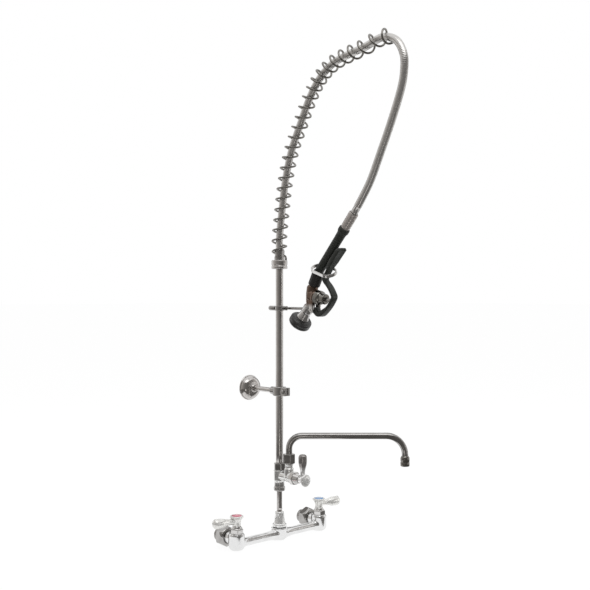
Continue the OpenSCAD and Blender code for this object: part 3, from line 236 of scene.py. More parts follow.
def surface(name, low, high, metallic, rough, grain, bump, fine, stretch=(1, 1, 1), edge_wear_highlight=None, coat=0.0,
            specular=0.5, above=None):
    """A procedural finish: two tones in soft patches, varied roughness, fine bump, and paler edges that
    stand for wear and a painted highlight.

    low and high are the two tones, rough the least and the greatest roughness, and grain and fine the
    noise scales of the patches and of the bump. above is (height where it starts, height where it is full,
    colour), for a second tone higher up.
    """
    mat = bpy.data.materials.new(name)
    mat.use_nodes = True
    tree = mat.node_tree
    tree.nodes.clear()
    add, link = tree.nodes.new, tree.links.new

    out = add("ShaderNodeOutputMaterial")
    shader = add("ShaderNodeBsdfPrincipled")
    link(shader.outputs[0], out.inputs[0])
    shader.inputs["Metallic"].default_value = metallic
    shader.inputs["Coat Weight"].default_value = coat
    shader.inputs["Coat Roughness"].default_value = COAT_ROUGHNESS
    shader.inputs["Specular IOR Level"].default_value = specular

    where = add("ShaderNodeTexCoord")
    scale = add("ShaderNodeMapping")
    scale.inputs["Scale"].default_value = stretch
    link(where.outputs["Object"], scale.inputs["Vector"])

    def noise(size, detail, roughness=0.55):
        """Noise in the object's own coordinates, stretched."""
        pattern = add("ShaderNodeTexNoise")
        pattern.inputs["Scale"].default_value = size
        pattern.inputs["Detail"].default_value = detail
        pattern.inputs["Roughness"].default_value = roughness
        link(scale.outputs["Vector"], pattern.inputs["Vector"])
        return pattern.outputs["Fac"]

    def between(value, first, last, dark, light):
        """A colour that runs from dark to light while value runs from first to last."""
        ramp = add("ShaderNodeValToRGB")
        ramp.color_ramp.elements[0].position = first
        ramp.color_ramp.elements[0].color = (*dark, 1)
        ramp.color_ramp.elements[1].position = last
        ramp.color_ramp.elements[1].color = (*light, 1)
        link(value, ramp.inputs["Fac"])
        return ramp.outputs["Color"]

    def mapped(value, from_min, from_max, to_min=0.0, to_max=1.0):
        """The value, moved and scaled from one range to another."""
        scaled = add("ShaderNodeMapRange")
        scaled.inputs["From Min"].default_value = from_min
        scaled.inputs["From Max"].default_value = from_max
        scaled.inputs["To Min"].default_value = to_min
        scaled.inputs["To Max"].default_value = to_max
        link(value, scaled.inputs["Value"])
        return scaled.outputs["Result"]

    def tinted(share, base, tint):
        """The base colour, with tint over it where share is 1."""
        mix = add("ShaderNodeMix")
        mix.data_type = "RGBA"
        factor, first, second = mix.inputs[0], mix.inputs[6], mix.inputs[7]
        second.default_value = (*tint, 1)
        link(share, factor)
        link(base, first)
        return mix.outputs[2]

    colour = between(noise(grain, 4), TONE_FROM, TONE_TO, low, high)
    # paler edges where the surface is pointy: wear, lightened into a painted highlight
    if edge_wear_highlight:
        edge = add("ShaderNodeNewGeometry")
        worn_highlit_edge = between(edge.outputs["Pointiness"], WEAR_HIGHLIGHT_FROM, WEAR_HIGHLIGHT_TO, (0, 0, 0), (1, 1, 1))
        colour = tinted(worn_highlit_edge, colour, edge_wear_highlight)
    if above:
        start, full, tint = above
        apart = add("ShaderNodeSeparateXYZ")
        link(where.outputs["Object"], apart.inputs[0])
        colour = tinted(mapped(apart.outputs["Z"], start, full), colour, tint)
    link(colour, shader.inputs["Base Color"])
    spread = mapped(noise(grain * ROUGH_FINER, 6, 0.65), ROUGH_FROM, ROUGH_TO, *rough)
    link(spread, shader.inputs["Roughness"])

    relief = add("ShaderNodeBump")
    relief.inputs["Strength"].default_value = bump
    relief.inputs["Distance"].default_value = BUMP_DEPTH
    link(noise(fine, 3), relief.inputs["Height"])
    link(relief.outputs["Normal"], shader.inputs["Normal"])
    return mat


# Each line: name, two tones, metallic, roughness, grain, bump and fineness of the bump
CHROME = surface("chrome", (0.60, 0.59, 0.58), (0.70, 0.69, 0.68), 1.0, (0.06, 0.13), 70, 0.04, 1400)
PIPE = surface("pipe_chrome", (0.52, 0.50, 0.485), (0.62, 0.60, 0.585), 1.0, (0.13, 0.22), 70, 0.04, 1400)
CAST = surface("cast_chrome", (0.74, 0.74, 0.74), (0.84, 0.84, 0.84), 1.0, (0.08, 0.18), 55, 0.09, 700)
NUT = surface("nut_chrome", (0.34, 0.33, 0.32), (0.50, 0.49, 0.48), 1.0, (0.06, 0.12), 70, 0.06, 1400)
ROD = surface("rod_chrome", (0.33, 0.32, 0.31), (0.43, 0.42, 0.41), 1.0, (0.12, 0.20), 80, 0.05, 1400)
PALE = surface("pale_chrome", (0.80, 0.80, 0.79), (0.90, 0.90, 0.89), 0.7, (0.10, 0.18), 70, 0.05, 1400)
# Pale, partly diffuse chrome for the hot and cold levers: their near-white look is painted light
SATIN_PAINTED_LIGHT = surface("satin_chrome_painted_light", (0.76, 0.755, 0.73), (0.85, 0.845, 0.82), 0.6, (0.24, 0.36), 60, 0.06, 900)
STEEL = surface("brushed_steel", (0.30, 0.29, 0.28), (0.42, 0.41, 0.40), 1.0, (0.22, 0.34), 120, 0.10, 1500,
                stretch=(1, 1, 6))
HOSE = surface("hose_steel", (0.50, 0.485, 0.47), (0.64, 0.625, 0.605), 0.9, (0.14, 0.22), 240, 0.05, 2200)
WIRE = surface("spring_wire", (0.19, 0.18, 0.165), (0.28, 0.27, 0.25), 1.0, (0.18, 0.28), 160, 0.05, 1800)
FERRULE = surface("ferrule_steel", (0.38, 0.35, 0.33), (0.50, 0.465, 0.44), 0.7, (0.20, 0.30), 150, 0.06,
                  1500)
BRASS = surface("turned_brass", (0.66, 0.53, 0.28), (0.76, 0.64, 0.38), 1.0, (0.18, 0.30), 150, 0.08, 1700)
RUBBER = surface("seal_rubber", (0.05, 0.05, 0.05), (0.09, 0.09, 0.09), 0.0, (0.55, 0.75), 200, 0.25, 1600)
RED = surface("hot_red", (0.50, 0.04, 0.10), (0.62, 0.07, 0.15), 0.0, (0.16, 0.28), 180, 0.06, 1500,
              coat=0.5)
BLUE = surface("cold_blue", (0.09, 0.24, 0.50), (0.14, 0.32, 0.60), 0.0, (0.16, 0.28), 180, 0.06, 1500,
               coat=0.5)

# Chrome with a second tone above some height of the faucet: browner on the valve body, a dark painted shade
# on the add-on lever's blade, paler on the tee
BODY_PLATING = surface("body_plating", (0.56, 0.55, 0.54), (0.66, 0.65, 0.64), 1.0, (0.10, 0.20), 60, 0.06,
                       1100, above=(0.416, 0.423, (0.155, 0.108, 0.084)))
# The add-on lever: pale on its hub below 0.118 m, painted light, and dark grey on its blade above, painted
# shade
BLADE = surface("blade_chrome", (0.84, 0.84, 0.83), (0.93, 0.92, 0.92), 0.75, (0.14, 0.22), 80, 0.05, 1400,
                above=(0.118, 0.128, (0.29, 0.272, 0.262)))
TEE = surface("tee_chrome", (0.40, 0.39, 0.38), (0.52, 0.51, 0.50), 0.85, (0.10, 0.18), 70, 0.05, 1400,
              above=(0.084, 0.090, (0.80, 0.80, 0.79)))

# Black mouldings with paler edges: wear, with a painted highlight on them
STRAP = surface("lever_black", (0.008, 0.010, 0.008), (0.018, 0.020, 0.016), 0.0, (0.32, 0.46), 260, 0.25,
                2600, edge_wear_highlight=(0.06, 0.062, 0.058), specular=0.34)
GRIP = surface("grip_black", (0.012, 0.014, 0.011), (0.026, 0.028, 0.023), 0.0, (0.34, 0.50), 260, 0.30,
               2600, edge_wear_highlight=(0.05, 0.053, 0.048), specular=0.28)
BUMPER = surface("bumper_rubber", (0.012, 0.012, 0.012), (0.028, 0.027, 0.026), 0.0, (0.26, 0.38), 220,
                 0.20, 2300, edge_wear_highlight=(0.08, 0.08, 0.08), specular=0.55)
COUPLING = surface("coupling_black", (0.010, 0.009, 0.008), (0.020, 0.018, 0.017), 0.0, (0.34, 0.48), 240,
                   0.22, 2400, edge_wear_highlight=(0.05, 0.05, 0.05), specular=0.3)

# The finish of each material slot, and of the nodes that differ from their slot
FINISH = {"chrome": CHROME, "steel": STEEL, "brass": BRASS, "seal_rubber": RUBBER, "hot_red": RED,
          "cold_blue": BLUE, "plain_index": PALE, "spring_wire": WIRE, "hose_steel": HOSE,
          "grip_black": GRIP, "coupling_black": COUPLING, "bumper_rubber": BUMPER}
# The valve bonnet takes the dark spring-wire finish: painted shade from the squeeze lever over it
SPECIAL = {"base_body": CAST, "addon_body": TEE, "riser_bell": PALE, "hot_lever": SATIN_PAINTED_LIGHT,
           "cold_lever": SATIN_PAINTED_LIGHT, "valve_body": BODY_PLATING, "addon_lever": BLADE, "spout_nut": NUT,
           "riser_nut": NUT, "bracket_clamp": NUT, "hook_clamp": ROD, "valve_bonnet": WIRE}

for node, slot in SLOT.items():
    materials = nodes[node].data.materials
    materials.clear()
    materials.append(SPECIAL.get(node, FINISH[slot]))

# ------------------------------------------------------------ hose
# The route of the hose: forward of the riser and above the collar, in millimetres
ROUTE = [(0, 0), (0, 20), (0, 40), (6, 84), (17, 146), (34, 200), (57, 243), (84, 290), (110, 320),
         (142, 339), (178, 347), (218, 352), (258, 360), (289, 349), (305, 323), (306, 296), (299, 266),
         (278.5, 218), (256, 172), (233.5, 128), (213, 98.5), (194, 74.5)]
COLLAR_TOP = 503.5
CURVE = smooth_line(ROUTE, 8)
RUN = running_length(CURVE)
HOSE_LEN = RUN[-1]


def place_at(s):
    """A point on the hose's line, in metres, at s millimetres from the collar."""
    s = max(0.0, min(HOSE_LEN, s))
    i = max(k for k in range(len(RUN) - 1) if RUN[k] <= s)
    t = (s - RUN[i]) / (RUN[i + 1] - RUN[i])
    f = CURVE[i][0] + t * (CURVE[i + 1][0] - CURVE[i][0])
    h = CURVE[i][1] + t * (CURVE[i + 1][1] - CURVE[i][1])
    return Vector((0, RISER_Y - f, COLLAR_TOP + h)) / 1000


def heading_at(s):
    """The way that the hose's line runs at s, from the points just before and after it."""
    reach = 2
    return (place_at(min(s + reach, HOSE_LEN)) - place_at(max(s - reach, 0))).normalized()


HOSE_START, HOSE_R, HOSE_SIDES = 14, 6.7, 20
HOSE_RIBS, PLAIN_END = 290, 13
# (place along a rib from 0 to 1, what is added to HOSE_R there), and what is added at the plain ends
RIB_SHAPE = ((0.0, -0.16), (0.2, -0.1), (0.36, 0.0), (0.66, 0.0), (0.82, -0.1))
START_MORE, LAST_MORE, END_MORE = -0.16, -0.62, -0.5


def hose_stations():
    """(distance from the collar, what is added to HOSE_R) of each ring of the ribbed hose."""
    rib = (HOSE_LEN - HOSE_START - 2 * PLAIN_END) / HOSE_RIBS
    stations = [(HOSE_START, START_MORE)]
    for i in range(HOSE_RIBS):
        stations += [(HOSE_START + PLAIN_END + (i + t) * rib, more) for t, more in RIB_SHAPE]
    return [*stations, (HOSE_LEN - PLAIN_END, LAST_MORE), (HOSE_LEN, END_MORE)]


stations = hose_stations()
hose_path = [place_at(s) for s, _ in stations]
hose_radii = [(HOSE_R + more) / 1000 for _, more in stations]
hose = piece("ribbed_hose", tube_mesh(hose_path, hose_radii, HOSE_SIDES, SIDE), "hose_arch",
             HOSE, ["hose"], sharp=60)

# ------------------------------------------------------------ overhead spring
# Wire wound round the hose, with its foot square on the collar, in millimetres and turns
WIRE_D, COIL_R, LAST_R, CURLS = 3.6, 12.95, 8.8, 26
COIL_TOP = 508                      # where evenly wound curls would end along the hose
CLOSING = 0.6                       # turns over which the top curl closes on the hose
CROWD, CROWD_FROM, CROWD_SPAN = 9.5, 0.58 * CURLS, 0.385 * CURLS    # curls here lie lower than even
LOOSE, LOOSE_TURNS = 8, 3.2         # the last turns stand further apart
FOOT = WIRE_D * 1.3                 # length of the wire's slope from the collar to its first curl
PITCH = (COIL_TOP - WIRE_D - FOOT) / CURLS
CURL_STEPS, WIRE_SIDES = 40, 12


def coil_s(turn):
    """How far along the hose the wire is after some turns; the curls crowd, then stand apart."""
    x = (turn - CROWD_FROM) / CROWD_SPAN
    y = max(0, turn - CURLS + LOOSE_TURNS)
    crowd = CROWD * (1 - math.cos(2 * math.pi * x)) / 2 if 0 < x < 1 else 0
    return WIRE_D + FOOT + PITCH * turn - crowd + LOOSE * y * y / (1 + y)


def coil_radius(turn):
    """The wire's distance from the hose's line; the top curl closes."""
    if turn < CURLS - CLOSING:
        return COIL_R
    return COIL_R + (LAST_R - COIL_R) * (1 - math.cos(math.pi * (turn - CURLS + CLOSING) / CLOSING)) / 2


def wire_at(angle, s, r):
    """A point of the wire, in metres, at an angle round the hose's line."""
    across = heading_at(s).cross(SIDE)
    return place_at(s) + r / 1000 * (math.cos(angle) * SIDE + math.sin(angle) * across)


def spring_path():
    """The wire's centre line from its foot to its end."""
    foot_angle = -FOOT / COIL_R
    path = [wire_at(foot_angle, 0, COIL_R), wire_at(foot_angle, WIRE_D, COIL_R),
            wire_at(foot_angle * 0.7, WIRE_D + FOOT * 0.6, COIL_R)]
    for i in range(CURLS * CURL_STEPS + 1):
        turn = i / CURL_STEPS
        path.append(wire_at(2 * math.pi * turn, coil_s(turn), coil_radius(turn)))
    path.append(path[-1] + WIRE_D / 1000 * (path[-1] - path[-2]).normalized())
    return path


wire_path = spring_path()
piece("coil_spring", tube_mesh(wire_path, [WIRE_D / 2000] * len(wire_path), WIRE_SIDES), "hose_arch",
      WIRE, ["overhead_spring"], sharp=60)

# ------------------------------------------------------------ cast and moulded bodies
# Node: grain of its skin in metres, and passes of polishing
SOFT = {"base_body": (0.0009, 8), "addon_body": (0.0007, 5), "valve_body": (0.0006, 5),
        "riser_bell": (0.0006, 4), "hot_lever": (0.0006, 5), "cold_lever": (0.0006, 5),
        "addon_lever": (0.0006, 5), "valve_bonnets": (0.0006, 3), "addon_bonnet": (0.0005, 3),
        "riser_nut": (0.0005, 3), "spout_nut": (0.0005, 3), "valve_bonnet": (0.0005, 3),
        "bracket_clamp": (0.0005, 3), "hook_clamp": (0.0005, 3), "grip_coupling": (0.0006, 4),
        "hold_ring": (0.0004, 3)}
# Node: how far its skin stands out in metres, so that polishing doesn't thin it
FULLER = {"valve_body": 0.0008, "hot_lever": 0.0010, "cold_lever": 0.0010}


def soften(node, grain, passes):
    """Rounds the edges and inner corners of a CAD node as casting and polishing do."""
    skin = nodes[node].modifiers.new("skin", "REMESH")
    skin.mode = "VOXEL"
    skin.voxel_size = grain
    skin.use_smooth_shade = True
    if node in FULLER:
        swell = nodes[node].modifiers.new("swell", "DISPLACE")
        swell.mid_level = 0
        swell.strength = FULLER[node]
    polish = nodes[node].modifiers.new("polish", "SMOOTH")
    polish.factor = 0.5
    polish.iterations = passes


for node, (grain, passes) in SOFT.items():
    soften(node, grain, passes)


# ------------------------------------------------------------ pipes and spout
def pipe(node, material):
    """An upright pipe with turned ends and a groove near its foot, on its CAD node's axis and size."""
    wall, edge = 1.6, 0.5
    groove, slope, band, groove_at = 0.25, 0.4, 1.2, 14
    mid, low, high = middle(node)
    r, length = (high.x - low.x) * 500, (high.z - low.z) * 1000
    plain = groove_at + 2 * slope + band
    profile = [(r - wall, 0), (r - edge, 0), (r, edge), (r, groove_at), (r - groove, groove_at + slope),
               (r - groove, groove_at + slope + band), (r, plain), *straight(r, plain, length - wall, 12),
               (r - edge, length), (r - wall, length), (r - wall, 0)]
    stand_for(node, lathe(profile, (mid.x, mid.y, low.z), UP, 64), material)


pipe("riser_pipe", PIPE)
pipe("lower_nipple", PIPE)

SPOUT_TURN = math.radians(-42)      # the way that it points at rest, from the x axis
SPOUT_AXIS = Vector((0, -0.079, 0))
# In millimetres: the tube's radius, the heights of its foot and of its level part, its reach, its bends
# and the straight pieces before the first bend and after the last
SPOUT_R, SPOUT_FOOT, SPOUT_LEVEL, SPOUT_REACH = 6, 113.5, 178, 214
FOOT_BEND, TIP_BEND, FOOT_RISE, TIP_LEN = 24, 35, 20, 10


def spout():
    """The swing spout: up from its foot, level, and down at its tip."""
    level = SPOUT_REACH - FOOT_BEND - TIP_BEND
    line = [(0, SPOUT_FOOT), (0, SPOUT_FOOT + FOOT_RISE)]
    line += arc(FOOT_BEND, SPOUT_LEVEL - FOOT_BEND, FOOT_BEND, 180, 90, -5)
    line += [(FOOT_BEND + level * i / 10, SPOUT_LEVEL) for i in range(1, 10)]
    line += arc(SPOUT_REACH - TIP_BEND, SPOUT_LEVEL - TIP_BEND, TIP_BEND, 90, 0, -5)
    line += [(SPOUT_REACH, SPOUT_LEVEL - TIP_BEND - TIP_LEN)]
    out_way = Vector((math.cos(SPOUT_TURN), math.sin(SPOUT_TURN), 0))
    path = [SPOUT_AXIS + out_way * f / 1000 + UP * h / 1000 for f, h in line]
    stand_for("spout_tube", tube_mesh(path, [SPOUT_R / 1000] * len(path), 40, out_way.cross(UP)), ROD)


spout()


# ------------------------------------------------------------ wall bracket and finger hook
def bracket():
    """The rod to the wall and its domed flange."""
    mid, low, high = middle("bracket_rod")
    rod_r, rod_len, edge = (high.x - low.x) * 500, (high.y - low.y) * 1000, 0.6
    rod = [(0, 0), (rod_r - edge, 0), (rod_r, edge), *straight(rod_r, edge, rod_len - edge, 8),
           (rod_r - edge, rod_len), (0, rod_len)]
    stand_for("bracket_rod", lathe(rod, (mid.x, low.y, mid.z), (0, 1, 0)), PIPE)

    mid, low, high = middle("bracket_flange")
    dome_r, dome_h, neck = (high.x - low.x) * 500, (high.y - low.y) * 1000, 7.2
    dome_from, dome_rise, dome_reach, steps = 3.3, dome_h - 6.8, dome_r - 1.4 - neck, 20
    dome = [(0, 0), (dome_r - 0.3, 0), (dome_r, 0.3), (dome_r, 2.2), (dome_r - 0.5, 2.9),
            (dome_r - 1.2, 3.2)]
    for i in range(steps):
        a = math.pi / 2 * i / steps
        dome.append((neck + dome_reach * math.cos(a), dome_from + dome_rise * math.sin(a)))
    dome += [(neck + 0.5, dome_h - 3.2), (neck, dome_h - 2.4), (neck, dome_h - 0.7), (neck - 0.7, dome_h),
             (rod_r + 0.2, dome_h), (rod_r + 0.2, dome_h - 2)]
    stand_for("bracket_flange", lathe(dome, (mid.x, high.y, mid.z), (0, -1, 0), 72), PIPE)


def finger_hook():
    """The hook's rod with a ball at its tip, and its cap on the other side of the riser."""
    rod_r = 2.7
    ball = rod_r + 0.5
    mid, low, high = middle("hook_rod")
    rod_len, rod_from = (high.y - low.y) * 1000, ball * 1.75
    rod = [(0, 0), *arc(0, ball, ball, -75, 30, 15), (rod_r, rod_from),
           *straight(rod_r, rod_from, rod_len, 8), (0, rod_len)]
    stand_for("hook_rod", lathe(rod, (mid.x, low.y, mid.z), (0, 1, 0), 32), ROD)

    mid, low, high = middle("hook_cap")
    cap_r, cap_len, bend = (high.x - low.x) * 500, (high.y - low.y) * 1000, 3.2
    cap = [(rod_r, 0.4), (cap_r - 0.9, 0), (cap_r - 0.3, 0.2), (cap_r, 0.8), (cap_r, cap_len - bend),
           *arc(cap_r - bend, cap_len - bend, bend, 15, 90, 15), (0, cap_len)]
    stand_for("hook_cap", lathe(cap, (mid.x, low.y, mid.z), (0, 1, 0), 40), ROD)


bracket()
finger_hook()

# ------------------------------------------------------------ inlet nuts
INLET_X, NUT_FLAT, NUT_SIDES = 0.1016, 17.0, 72
# (greatest radius, distance from the front) of each ring, in millimetres
NUT_RINGS = [(12.0, 0.5), (13.0, 0.0), (14.6, 0.5), (16.2, 1.8), (17.4, 3.6), (18.5, 5.4), (19.3, 6.6),
             (19.7, 7.4), (19.7, 10), (19.7, 15.4), (19.2, 16.2), (18.0, 17.0), (12.0, 17.0)]


def hex_mesh(place, way, rings, flat, sides):
    """A six-sided nut whose chamfers come from the rings' greatest radii."""
    u = UP.cross(way).normalized()
    v = way.cross(u)
    verts = []
    for wide, h in rings:
        for k in range(sides):
            a = 2 * math.pi * k / sides
            from_flat = (a + math.pi / 6) % (math.pi / 3) - math.pi / 6
            r = min(wide, flat / math.cos(from_flat)) / 1000
            verts.append(place + way * h / 1000 + r * (math.cos(a) * u + math.sin(a) * v))
    return verts, rings_to_faces(len(rings), sides)


def inlet_nuts():
    """Both nuts as one piece, as in the CAD node."""
    front = middle("inlet_nuts")[1].y
    verts, faces = [], []
    for x in (-INLET_X, INLET_X):
        more_verts, more_faces = hex_mesh(Vector((x, front, 0)), Vector((0, 1, 0)), NUT_RINGS, NUT_FLAT,
                                          NUT_SIDES)
        faces += [tuple(i + len(verts) for i in face) for face in more_faces]
        verts += more_verts
    stand_for("inlet_nuts", (verts, faces), NUT)


inlet_nuts()


# ------------------------------------------------------------ collar, ferrule and grip
def spring_collar():
    """The collar on the riser's top, with a turned groove."""
    mid, low, high = middle("spring_collar")
    r = (high.x - low.x) * 500
    collar = [(7.2, 0.4), (r - 1.6, 0), (r - 0.8, 0.25), (r - 0.2, 0.9), (r, 1.6), (r, 4.8), (r - 0.6, 5.5),
              (r - 0.75, 6.4), (r - 0.6, 7.4), (r, 8.1), (r, 15.4), (r - 0.3, 16.1), (r - 1.0, 16.6),
              (9.8, 16.7), (9.5, 15)]
    stand_for("spring_collar", lathe(collar, (mid.x, mid.y, low.z), UP, 72), PIPE)


def leaning(degrees):
    """The upward way of a piece that leans forward."""
    lean = math.radians(degrees)
    return Vector((0, -math.sin(lean), math.cos(lean)))


GRIP_WAY = leaning(41.5)
HOSE_END = place_at(HOSE_LEN)


def ferrule():
    """The crimped sleeve at the hose's end, with four shallow grooves."""
    profile = [(7.3, -33), (7.7, -32.8), (7.8, -29.8), (8.6, -29.0)]
    for h in (-25.5, -20.5, -15.5, -10.5):
        profile += [(8.6, h - 1.9), (8.4, h - 1.0), (8.33, h), (8.4, h + 1.0), (8.6, h + 1.9)]
    profile += [(8.6, -2.2), (8.3, -1.0), (7.6, -0.3), (7.0, -0.4), (6.9, -3)]
    stand_for("hose_ferrule", lathe(profile, HOSE_END, GRIP_WAY, 56), FERRULE)


def grip():
    """The black grip: finger grooves along its lower half and a flared top."""
    grooves, first_groove, groove_pitch = 11, -104, 4.5
    profile = [(4.2, -133), (6.8, -133), (7.6, -132.6), (8.0, -131.8), (8.0, -104.6)]
    for i in range(grooves):
        h = first_groove + groove_pitch * i
        profile += [(8.0, h), (7.62, h + 0.35), (7.55, h + 0.9), (7.62, h + 1.45), (8.05, h + 1.9),
                    (8.12, h + 3.1)]
    profile += [(8.1, -50), (8.4, -44.5), (9.3, -42.2), (9.9, -40.6), (10, -39.5), (10, -35), (9.8, -33.9),
                (9.2, -33.2), (8.4, -33), (7.9, -33.4)]
    stand_for("grip", lathe(profile, HOSE_END, GRIP_WAY, 64), GRIP)


ferrule()
grip()
spring_collar()

# ------------------------------------------------------------ squeeze lever
VALVE_LEAN = math.radians(10)
VALVE_FORWARD, VALVE_HEIGHT = 91.2312, 456.264
# The lever's middle line, forward and up in the leaning valve body, in millimetres
LEVER = [(13.5, -44), (23, -49.5), (29, -50), (35.5, -47), (44, -37.5), (51.5, -27), (57.5, -14),
         (55, -7.5), (45, 3), (32, 12.5), (31.3, 19.3), (38.7, 35.4), (46.8, 48), (55, 60.4), (65, 75)]
LEVER_SIDES = 24
STRAP_WIDE, STRAP_THICK = 6.9, 2.6          # half the strap's width and thickness
BOSS, BOSS_LEN = 1.3, 7                     # thicker at the pin
TIP_ROUND = 5                               # round over this length at the tip
# How much, how far from its end, and the length over which it grows there
LUG, LUG_LEN, LUG_SPAN = 4.0, 46, 20        # inner side thicker, from the pin
PAD, PAD_LEN, PAD_SPAN = 2.1, 46, 14        # finger pad wider, from the tip
WALL, WALL_LEN, WALL_SPAN = 4.5, 52, 12     # the pad's edges bend toward the grip, from the tip,
WALL_END = 8                                # and fade out over this length at the tip itself
DISH, DISH_LEN, DISH_SPAN = 0.9, 34, 14     # the pad's face is hollow, from the tip


def valve_point(forward, height, x):
    """A point given forward, up and aside in the leaning valve body, in millimetres."""
    c, s = math.cos(VALVE_LEAN), math.sin(VALVE_LEAN)
    return Vector((x, RISER_Y - VALVE_FORWARD - forward * c - height * s,
                   VALVE_HEIGHT - forward * s + height * c)) / 1000


def lever_section(start, left):
    """Half width, half thickness, lug, wall and dish, at start from the pin and left from the tip."""
    wide = STRAP_WIDE + PAD * grown(PAD_LEN - left, PAD_SPAN)
    thick = STRAP_THICK + BOSS * max(0, 1 - start / BOSS_LEN) ** 2
    lug = LUG * (0.5 - 0.5 * math.cos(math.pi * grown(LUG_LEN - start, LUG_SPAN)))
    wall = WALL * grown(WALL_LEN - left, WALL_SPAN) * grown(left, WALL_END)
    dish = DISH * grown(DISH_LEN - left, DISH_SPAN)
    if left < TIP_ROUND:
        wide *= math.sqrt(1 - (1 - left / TIP_ROUND) ** 3 * 0.6)
        thick *= math.sqrt(1.05 - (1 - left / TIP_ROUND) ** 4)
    return wide, thick, lug, wall, dish


def flattened(value, power):
    """A sine or cosine made squarer, for a rounded rectangle."""
    return math.copysign(abs(value) ** power, value)


def squeeze_lever():
    """A moulded strap with rounded edges: round at its pin, broad and round-tipped along the pad."""
    line = smooth_line(LEVER, 6)
    run = running_length(line)
    verts = []
    for i, (f, h) in enumerate(line):
        after, before = line[min(i + 1, len(line) - 1)], line[max(i - 1, 0)]
        way = Vector((after[0] - before[0], after[1] - before[1])).normalized()
        wide, thick, lug, wall, dish = lever_section(run[i], run[-1] - run[i])
        for k in range(LEVER_SIDES):
            a = 2 * math.pi * k / LEVER_SIDES
            x = wide * flattened(math.cos(a), 0.28)
            n = thick * flattened(math.sin(a), 0.45)
            if n < 0:
                n += dish * (1 - (x / wide) ** 2)
            else:
                n += lug * math.sin(a) ** 0.5 + wall * abs(x / wide) ** 8
            verts.append(valve_point(f - way.y * n, h + way.x * n, x))
    faces = rings_to_faces(len(line), LEVER_SIDES) + end_caps(len(line), LEVER_SIDES)
    stand_for("squeeze_lever", (verts, faces), STRAP, sharp=50)


squeeze_lever()

# ------------------------------------------------------------ bumper of the spray head
HEAD_WAY = leaning(42)
HEAD_FORWARD, HEAD_HEIGHT = 84.7194, 419.334
HEAD_JOINT = Vector((0, RISER_Y - HEAD_FORWARD, HEAD_HEIGHT)) / 1000
# Where the bumper's top lies along the head from its joint, and how high the bumper is, in millimetres
BUMPER_TOP, BUMPER_H = -31.5, 15.5
BUMPER_FOOT = HEAD_JOINT + HEAD_WAY * (BUMPER_TOP - BUMPER_H) / 1000
bumper = [(15.6, 1.2), (15.7, 0.3), (16.4, 0), (17.8, 0.1), (19.2, 0.7), (20.2, 1.9), (20.5, 3.4),
          (20.5, 5.2), (20.2, 5.8), (20.2, 6.6), (20.5, 7.2), (20.5, 10.4), (20.1, 12.2), (18.9, 13.6),
          (17.2, 14.5), (15, 15.1), (13, 15.4), (12.2, 15.5), (11.5, 15.3), (11.2, 14.6), (11.1, 13)]
stand_for("spray_bumper", lathe(bumper, BUMPER_FOOT, HEAD_WAY, 80), BUMPER)


# ------------------------------------------------------------ index buttons and aerator
def index_button(node, finish, forward=False):
    """A round button with a bevelled rim and a raised, bare face that looks up or forward."""
    mid, low, high = middle(node)
    size = high - low
    r, t = max(size) * 500, min(size) * 1000
    button = [(r - 0.4, 0), (r, 0.3), (r, t - 1.0), (r - 0.4, t - 0.55), (r - 1.3, t - 0.4),
              (r - 1.5, t - 0.6), (r - 2.0, t - 0.6), (r - 2.3, t - 0.35), (r * 0.5, t - 0.1), (0, t)]
    foot, way = ((mid.x, high.y, mid.z), (0, -1, 0)) if forward else ((mid.x, mid.y, low.z), UP)
    stand_for(node, lathe(button, foot, way, 56), finish)


def aerator():
    """The turned shell at the spout's tip, with a groove round its middle."""
    mid, low, high = middle("aerator_shell")
    shell = [(6.0, 1.0), (6.2, 0.2), (7.4, 0), (8.1, 0.4), (8.5, 1.1), (8.5, 6.8), (8.1, 7.4), (7.9, 8.0),
             (8.1, 8.6), (8.5, 9.2), (8.5, 14.6), (8.2, 15.9), (7.3, 17.4), (6.7, 18.6), (6.2, 19),
             (6.0, 18.4)]
    stand_for("aerator_shell", lathe(shell, (mid.x, mid.y, low.z), UP, 56), WIRE)


index_button("hot_index", RED)
index_button("cold_index", BLUE)
index_button("addon_index", PALE, forward=True)
aerator()

# ------------------------------------------------------------ floor and backdrop
FLOOR_Z = cad_box[0].z - 0.002
FLOOR_HALF, FLOOR_GREY, FLOOR_GLOW, GLOW_SHARE = 40, 0.85, 1.05, 0.9
AMBIENT, BACKDROP = 0.55, 1.0
WHITE = (1, 1, 1, 1)


def sheet_object(name, half_x, half_y, place, normal, material):
    """A flat rectangle of the stage."""
    mesh = bpy.data.meshes.new(name)
    mesh.from_pydata([(-half_x, -half_y, 0), (half_x, -half_y, 0), (half_x, half_y, 0),
                      (-half_x, half_y, 0)], [], [(0, 1, 2, 3)])
    obj = bpy.data.objects.new(name, mesh)
    scene.collection.objects.link(obj)
    obj.location = place
    obj.rotation_mode = "QUATERNION"
    obj.rotation_quaternion = Vector(normal).to_track_quat("Z", "Y")
    mesh.materials.append(material)
    return obj


def white_where_seen(tree, shader, shown):
    """Camera, mirror and clear rays see shown; all other rays see shader."""
    ray = tree.nodes.new("ShaderNodeLightPath")
    total = ray.outputs["Is Camera Ray"]
    for name in ("Is Glossy Ray", "Is Transmission Ray"):
        both = tree.nodes.new("ShaderNodeMath")
        both.operation = "MAXIMUM"
        tree.links.new(total, both.inputs[0])
        tree.links.new(ray.outputs[name], both.inputs[1])
        total = both.outputs[0]
    mix = tree.nodes.new("ShaderNodeMixShader")
    tree.links.new(total, mix.inputs[0])
    tree.links.new(shader, mix.inputs[1])
    tree.links.new(shown, mix.inputs[2])
    return mix.outputs[0]


def shining(tree, kind, strength, colour=WHITE):
    """The output of an emission or background node."""
    node = tree.nodes.new(kind)
    node.inputs["Color"].default_value = colour
    node.inputs["Strength"].default_value = strength
    return node.outputs[0]


